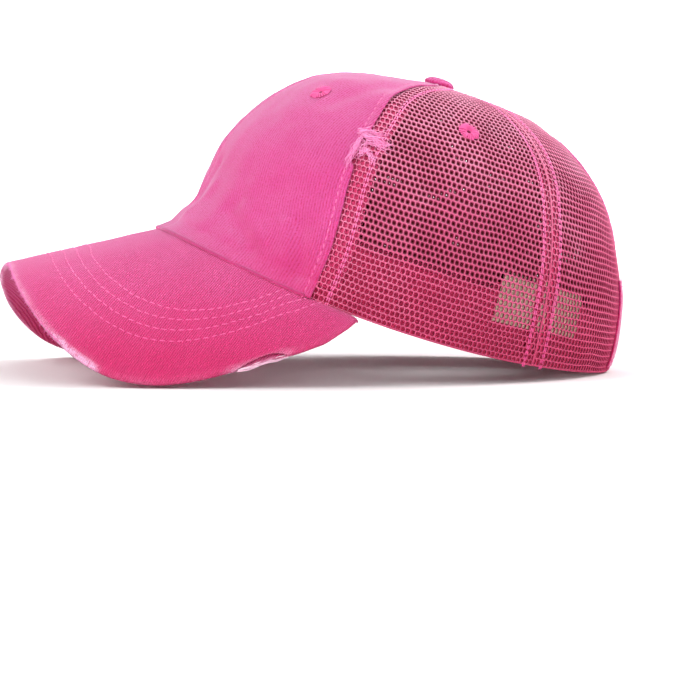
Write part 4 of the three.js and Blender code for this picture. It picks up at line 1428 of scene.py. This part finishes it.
profile = [
    (BUTTON_SHANK, -BUTTON_SHANK_DEPTH),
    (BUTTON_SHANK, BUTTON_SEAT),
    (BUTTON_RADIUS * 0.9, BUTTON_SEAT),
]
for k in range(1, BUTTON_RINGS):
    t = k / BUTTON_RINGS * math.pi / 2
    dome = (BUTTON_HEIGHT - BUTTON_SIDE) * math.sin(t) ** 1.3
    profile.append((BUTTON_RADIUS * math.cos(t * 0.98) ** 0.75, BUTTON_SEAT + BUTTON_SIDE + dome))
points = []
for radius, height in profile:
    for k in range(BUTTON_TURNS):
        t = 2 * math.pi * k / BUTTON_TURNS
        points.append((radius * math.cos(t), radius * math.sin(t) - TOP_FORWARD, CROWN_HEIGHT + height))
top, foot, last_ring = len(points), len(points) + 1, len(points) - BUTTON_TURNS
for height in (BUTTON_SEAT + BUTTON_HEIGHT, -BUTTON_SHANK_DEPTH):
    points.append((0, -TOP_FORWARD, CROWN_HEIGHT + height))
next_turn = [(k + 1) % BUTTON_TURNS for k in range(BUTTON_TURNS)]
faces = ring_faces(0, len(profile), BUTTON_TURNS)
faces += [[last_ring + k, last_ring + n, top] for k, n in enumerate(next_turn)]
faces += [[n, k, foot] for k, n in enumerate(next_turn)]
button_map = [points[corner][:2] for face in faces for corner in face]
dress(new_piece("covered_button", np.array(points), faces, button_map), twill, "twill", "button")


# Eyelets: small air holes in the front and side panels, one in each. They are worked over by a
# machine with satin stitch, radial and close together.
EYELETS = {"front": dict(angle=28.5, climb=0.62), "side": dict(angle=91, climb=0.643)}
EYELET_RADIUS = 4.1
EYELET_HOLE = 0.9
EYELET_HEIGHT = 0.75
SATIN_STITCHES = 24

satin, given, made = new_group(
    "satin ring", "GeometryNodeTree",
    dict(
        Place=("Geometry", None),
        Outer=("Float", 0.0039),
        Hole=("Float", 0.001),
        Height=("Float", 0.0009),
        Count=("Int", 40),
        Seed=("Int", 2),
        Thread=("Material", None),
        Depth=("Material", None),
    ),
    dict(Ring="Geometry"),
)
upwards = (0.0, 0.0, 1.0)
round_ring = put(satin, "GeometryNodeMeshCircle", dict(Vertices=given["Count"], Radius=1.0)).outputs[0]
radial = put(satin, "GeometryNodeInputPosition").outputs[0]
middle = product(satin, total(satin, given["Outer"], given["Hole"]), 0.5)
arc = put(satin, "GeometryNodeCurveQuadraticBezier", dict(
    Resolution=7,
    Start=vector_of(satin, given["Hole"], 0.0),
    Middle=vector_of(satin, middle, 0.0, product(satin, given["Height"], 1.9)),
    End=vector_of(satin, given["Outer"], 0.0),
)).outputs[0]
across_arc = put(satin, "GeometryNodeSplineParameter").outputs["Factor"]
fat = total(satin, 0.45, product(satin, across_arc, 0.75))
arc = put(satin, "GeometryNodeSetCurveRadius", dict(Curve=arc, Radius=fat)).outputs[0]
width = math_of(satin, "DIVIDE", product(satin, given["Outer"], 2 * math.pi * 0.4), given["Count"])
strand = drawn_out(satin, arc, 5, width, fat)
turned = store(satin, round_ring, "ray", radial)
centre = vector_of(satin, 0.0, 0.0)
centred = put(satin, "GeometryNodeSetPosition", dict(Geometry=turned, Position=centre)).outputs[0]
heading = facing_of(satin, named(satin, "ray"), upwards, "X", "Z")
uneven = random_vector(satin, (0.92, 0.85, 0.7), (1.06, 1.1, 1.2), given["Seed"])
rays = copies_on(satin, centred, strand, heading, uneven)
rays = put(satin, "GeometryNodeSetMaterial", dict(Geometry=rays, Material=given["Thread"])).outputs[0]
# The hole: a flat dark disc of painted shade.
eye = put(satin, "GeometryNodeMeshUVSphere", dict(Segments=12, Rings=6, Radius=given["Hole"])).outputs[0]
eye = put(satin, "GeometryNodeTransform", dict(Geometry=eye, Scale=(1.0, 1.0, 0.25))).outputs[0]
eye = put(satin, "GeometryNodeSetMaterial", dict(Geometry=eye, Material=given["Depth"])).outputs[0]
worked = put(satin, "GeometryNodeJoinGeometry")
satin.links.new(rays, worked.inputs[0])
satin.links.new(eye, worked.inputs[0])
facing = facing_of(satin, named(satin, "lift"), upwards, "Z", "Y")
finish_tree(satin, copies_on(satin, given["Place"], worked.outputs[0], facing), made["Ring"])

eyelet_pink = cloth_material("eyelet thread", body=srgb(224, 86, 146), deep=srgb(196, 46, 100),
                             lit_and_mottled=srgb(232, 112, 172), pitch=0.25, fade=0.6, relief=0.5, depth=0.00005)
# Painted shade for the inside of each eyelet's hole.
eyelet_hole_shade = cloth_material("shaded eyelet", body=srgb(110, 14, 54), deep=srgb(60, 4, 24),
                             lit_and_mottled=srgb(120, 24, 64), pitch=0.4, fade=0.2)

for seam, spot in EYELETS.items():
    for name, side in sides.items():
        angle, climb = np.array([side * spot["angle"]]), np.array([spot["climb"]])
        lift = TWILL_PROUD if seam == "front" else 0.0
        place = crown_run(angle, climb, lift), crown_normal(angle, climb)
        eyelet = guide_piece(f"satin_eyelet_{seam}_{name}", [place])
        apply_tree(eyelet, satin, outer=EYELET_RADIUS / 1000, hole=EYELET_HOLE / 1000,
                   height=EYELET_HEIGHT / 1000, count=SATIN_STITCHES, seed=2,
                   thread=eyelet_pink, depth=eyelet_hole_shade)
        dress(eyelet, None, "thread", f"{seam}_eyelet_{name}")


# Torn threads: the twill's edge is worn through at a seam and along the peak, and its cut yarns
# hang out in soft pale tufts.
fraying, given, made = new_group(
    "torn threads", "GeometryNodeTree",
    dict(
        Lines=("Geometry", None),
        Spacing=("Float", 0.0005),
        Length=("Float", 0.005),
        Curl=("Float", 0.002),
        Spread=("Float", 0.6),
        Sag=("Float", 0.3),
        Width=("Float", 0.0002),
        Seed=("Int", 1),
        Thread=("Material", None),
    ),
    dict(Threads="Geometry"),
)
lines = put(fraying, "GeometryNodeMeshToCurve", dict(Mesh=given["Lines"])).outputs[0]
spaced = dict(Curve=lines, Length=given["Spacing"])
lines = put(fraying, "GeometryNodeResampleCurve", spaced, mode="LENGTH").outputs[0]
stray = random_vector(fraying, (-1.0, -1.0, -1.0), (1.0, 1.0, 1.0), given["Seed"])
stray = vector_math(fraying, "SCALE", stray, given["Spread"])
heading = vector_math(fraying, "ADD", named(fraying, "reach"), stray)
heading = put(fraying, "FunctionNodeAlignRotationToVector", {"Vector": heading}, axis="Z").outputs[0]
longer = product(fraying, random_number(fraying, 0.35, 1.25, given["Seed"]), given["Length"])
fibre = put(fraying, "GeometryNodeCurvePrimitiveLine", dict(End=(0.0, 0.0, 1.0))).outputs[0]
fibre = put(fraying, "GeometryNodeResampleCurve", dict(Curve=fibre, Count=9)).outputs[0]
hung = copies_on(fraying, lines, fibre, heading, vector_of(fraying, longer, longer, longer))
along_fibre = put(fraying, "GeometryNodeSplineParameter").outputs["Factor"]
place = put(fraying, "GeometryNodeInputPosition").outputs[0]
bend = put(fraying, "ShaderNodeTexNoise", dict(Vector=place, Scale=260.0, Detail=2.0)).outputs["Color"]
bend = vector_math(fraying, "SUBTRACT", bend, (0.5, 0.5, 0.5))
bend = vector_math(fraying, "SCALE", bend, product(fraying, along_fibre, given["Curl"]))
sag = product(fraying, given["Sag"], given["Length"])
fall = product(fraying, math_of(fraying, "POWER", along_fibre, 2.0), sag, -1.0)
bend = vector_math(fraying, "ADD", bend, vector_of(fraying, 0.0, 0.0, fall))
hung = put(fraying, "GeometryNodeSetPosition", dict(Geometry=hung, Offset=bend)).outputs[0]
taper = math_of(fraying, "SUBTRACT", 1.0, product(fraying, along_fibre, 0.6))
hung = drawn_out(fraying, hung, 3, given["Width"], taper)
finish_tree(fraying, hung, made["Threads"], given["Thread"])

fray_pink = cloth_material("torn yarn", body=srgb(250, 146, 204), deep=srgb(236, 100, 170),
                           lit_and_mottled=srgb(255, 190, 228), pitch=0.3, fade=0.7, relief=0.0, depth=0.00002)
fray_white = cloth_material("bleached yarn", body=srgb(250, 206, 226), deep=srgb(240, 160, 200),
                            lit_and_mottled=srgb(255, 236, 244), pitch=0.3, fade=0.7, low=0.0, relief=0.0,
                            depth=0.00002)

# Locks of yarn at the torn seam, each a run of places on the crown: angle and climb.
LOCKS = [
    dict(run=[(55.0, 0.507), (57.3, 0.520), (59.7, 0.527), (60.4, 0.533)], spread=0.8, yarns=9),
    dict(run=[(56.1, 0.507), (59.0, 0.515), (62.0, 0.517), (64.2, 0.534)], spread=0.8, yarns=9),
    dict(run=[(56.9, 0.504), (60.2, 0.507), (63.1, 0.508), (66.0, 0.504)], spread=0.9, yarns=8),
    dict(run=[(58.0, 0.498), (60.8, 0.497), (64.1, 0.496), (67.2, 0.494)], spread=0.9, yarns=9),
    dict(run=[(60.0, 0.487), (62.7, 0.486), (65.3, 0.486), (67.4, 0.496)], spread=0.6, yarns=7),
    dict(run=[(56.9, 0.484), (56.9, 0.456), (56.8, 0.428), (57.2, 0.392)], spread=0.8, yarns=11),
    dict(run=[(57.5, 0.490), (57.5, 0.468), (57.5, 0.446), (57.8, 0.424)], spread=0.8, yarns=8),
    dict(run=[(59.8, 0.483), (59.4, 0.462), (58.9, 0.447), (58.7, 0.432)], spread=0.5, yarns=7),
    dict(run=[(61.1, 0.467), (60.4, 0.455), (59.7, 0.443), (59.1, 0.431)], spread=0.4, yarns=6),
    dict(run=[(60.9, 0.457), (62.1, 0.447), (63.3, 0.435), (64.0, 0.425)], spread=0.3, yarns=5),
    dict(run=[(61.2, 0.457), (62.7, 0.453), (64.2, 0.441), (65.2, 0.429)], spread=0.3, yarns=4),
]
LOCK_LIFT = 1.1
LOCK_STEPS = 18
LOCK_FULLNESS = 1.25
PINK_YARN = 0.00012             # metres
WHITE_YARN = 0.00026

spinning, given, made = new_group(
    "loose yarns", "GeometryNodeTree",
    dict(Lines=("Geometry", None), Width=("Float", 0.0002), Thread=("Material", None)),
    dict(Yarns="Geometry"),
)
strand = put(spinning, "GeometryNodeMeshToCurve", dict(Mesh=given["Lines"])).outputs[0]
along_yarn = put(spinning, "GeometryNodeSplineParameter").outputs["Factor"]
worn_thin = product(spinning, math_of(spinning, "POWER", along_yarn, 3.0), 0.7)
taper = math_of(spinning, "SUBTRACT", 1.0, worn_thin)
strand = drawn_out(spinning, strand, 5, given["Width"], taper)
finish_tree(spinning, strand, made["Yarns"], given["Thread"])

chance = np.random.default_rng(17)
yarn_lines = []
for lock in LOCKS:
    run = np.array(lock["run"])
    places = crown_run(run[:, 0], run[:, 1], LOCK_LIFT)
    normals = crown_normal(run[:, 0], run[:, 1])
    t = np.linspace(0, 1, LOCK_STEPS)
    for _ in range(int(lock["yarns"] * LOCK_FULLNESS)):
        start, stop = chance.uniform(-0.12, 0.12), chance.uniform(0.62, 1.1)
        at = start + (stop - start) * t
        line = np.stack([np.interp(np.clip(at, 0, 1) * 3, range(4), places[:, k]) for k in range(3)], axis=-1)
        line = line + np.outer(at - np.clip(at, 0, 1), places[-1] - places[-2]) * 2
        normal = unit(np.stack([np.interp(at * 3, range(4), normals[:, k]) for k in range(3)], axis=-1))
        side_way = unit(np.cross(normal, unit(np.gradient(line, axis=0))))
        drift = chance.normal(0, lock["spread"]) * (0.5 + 0.7 * t)
        drift += 0.5 * np.sin(t * chance.uniform(3, 16) + chance.uniform(0, 6))
        puff = chance.uniform(-0.6, 1.3) + 0.7 * np.sin(t * chance.uniform(2, 12) + chance.uniform(0, 6)) * t
        yarn_lines.append((line + side_way * drift[:, None] + normal * puff[:, None], normal))
tuft = guide_piece("tuft_at_seam", yarn_lines)
apply_tree(tuft, spinning, width=PINK_YARN, thread=fray_pink)
dress(tuft, None, "thread")

# The strip of cloth that is left outside the tear in the peak's edge, worn to its white yarns.
STRIP = dict(start=0.70, stop=0.79, yarns=9)

strip_lines = []
for _ in range(STRIP["yarns"]):
    first, last = STRIP["start"] + chance.uniform(0, 0.02), STRIP["stop"] - chance.uniform(0, 0.02)
    along = np.linspace(first, last, 26)
    share = (along - first) / (last - first)
    line = peak_face(along, full_width(along))
    down = peak_down(along, 1.0)
    sway = 0.35 * np.sin(share * chance.uniform(5, 14) + chance.uniform(0, 6))
    drop = chance.uniform(0.5, 2.1) + sway + 0.9 * np.sin(share * math.pi)
    outwards = unit(peak_face(along, 1.0) - peak_face(along, 0.97))
    line = line + down * drop[:, None] + outwards * (chance.uniform(-0.7, 0.3) + 0.4 * sway)[:, None]
    strip_lines.append((line, -down))
strip = guide_piece("strip_at_tear", strip_lines)
apply_tree(strip, spinning, width=WHITE_YARN, thread=fray_white)
dress(strip, None, "thread")

# Short fuzz on the worn left half of the peak: broken fibres of the twill that stand up from it.
FUZZ_TO = 0.36                  # of the way from the middle to the left end
FUZZ_ROW = -4
FUZZ_LEAN = (0.2, -0.6, -0.3)   # the way it reaches, in the cap's frame

worn_part = (upper_grid["along"][FUZZ_ROW] >= 0) & (upper_grid["along"][FUZZ_ROW] <= FUZZ_TO)
worn_line = [upper_grid[key][FUZZ_ROW][worn_part] for key in ("points", "normal")]
fuzz = guide_piece("fuzz_on_peak", [worn_line], reach=turn_to_room(worn_line[1] * 0.3 + np.array(FUZZ_LEAN)))
apply_tree(fuzz, fraying, spacing=0.0003, length=0.0014, curl=0.0016, spread=0.9, sag=0.3, width=0.00014,
           seed=12, thread=fray_pink)
dress(fuzz, None, "thread")


# Floor and light: a plain pale floor that bends up into a wall far off. A broad soft light stands
# above and in front, a weaker one on the left, one behind, and one over the wall.
FLOOR_RADIUS = 4.0
WALL_BEND = 1.6
WALL_HEIGHT = 3.2
FLOOR_TURNS = 96

bends = np.linspace(0, math.pi / 2, 13)
floor_profile = [(0.02, 0.0)]
floor_profile += [(FLOOR_RADIUS + WALL_BEND * math.sin(t), WALL_BEND * (1 - math.cos(t))) for t in bends]
floor_profile += [(FLOOR_RADIUS + WALL_BEND, WALL_HEIGHT)]
floor_points = []
for radius, height in floor_profile:
    for k in range(FLOOR_TURNS):
        t = 2 * math.pi * k / FLOOR_TURNS
        floor_points.append((radius * math.cos(t), radius * math.sin(t), height))
floor_faces = ring_faces(0, len(floor_profile), FLOOR_TURNS)
floor_faces.append(list(range(FLOOR_TURNS))[::-1])
floor_mesh = bpy.data.meshes.new("floor")
floor_mesh.from_pydata(floor_points, [], [face[::-1] for face in floor_faces])
floor_mesh.shade_smooth()
floor = bpy.data.objects.new("floor", floor_mesh)
bpy.context.scene.collection.objects.link(floor)
floor_paint = bpy.data.materials.new("pale floor")
floor_paint.use_nodes = True
paint = floor_paint.node_tree.nodes["Principled BSDF"]
paint.inputs["Base Color"].default_value = (0.88, 0.87, 0.87, 1)
paint.inputs["Roughness"].default_value = 0.9
floor_mesh.materials.append(floor_paint)

LIGHTS = [
    dict(name="key", place=(0.65, -1.6, 1.3), size=1.6, power=34, colour=(1.0, 0.98, 0.97)),
    dict(name="fill", place=(1.9, 0.7, 0.85), size=1.8, power=18, colour=(0.98, 0.98, 1.0)),
    dict(name="rim", place=(-0.3, 1.4, 1.2), size=1.0, power=23, colour=(1.0, 1.0, 1.0)),
    dict(name="backdrop", place=(-3.4, 0.7, 2.6), size=3.6, power=230, colour=(1.0, 1.0, 1.0), spread=90,
         aim=(-3.4, 0.7, 0.0)),
]
for light in LIGHTS:
    lamp = bpy.data.lights.new(light["name"], "AREA")
    lamp.shape = "DISK"
    lamp.size = light["size"]
    lamp.energy = light["power"]
    lamp.color = light["colour"]
    lamp.spread = math.radians(light.get("spread", 180))
    holder = bpy.data.objects.new(light["name"], lamp)
    holder.location = light["place"]
    aim = Vector(light["place"]) - Vector(light.get("aim", (0, 0, 0.06)))
    holder.rotation_euler = aim.to_track_quat("Z", "Y").to_euler()
    bpy.context.scene.collection.objects.link(holder)

world = bpy.data.worlds.new("studio")
world.use_nodes = True
world.node_tree.nodes["Background"].inputs["Color"].default_value = (0.93, 0.93, 0.95, 1)
world.node_tree.nodes["Background"].inputs["Strength"].default_value = 0.6
bpy.context.scene.world = world
bpy.context.scene.view_settings.view_transform = "Standard"
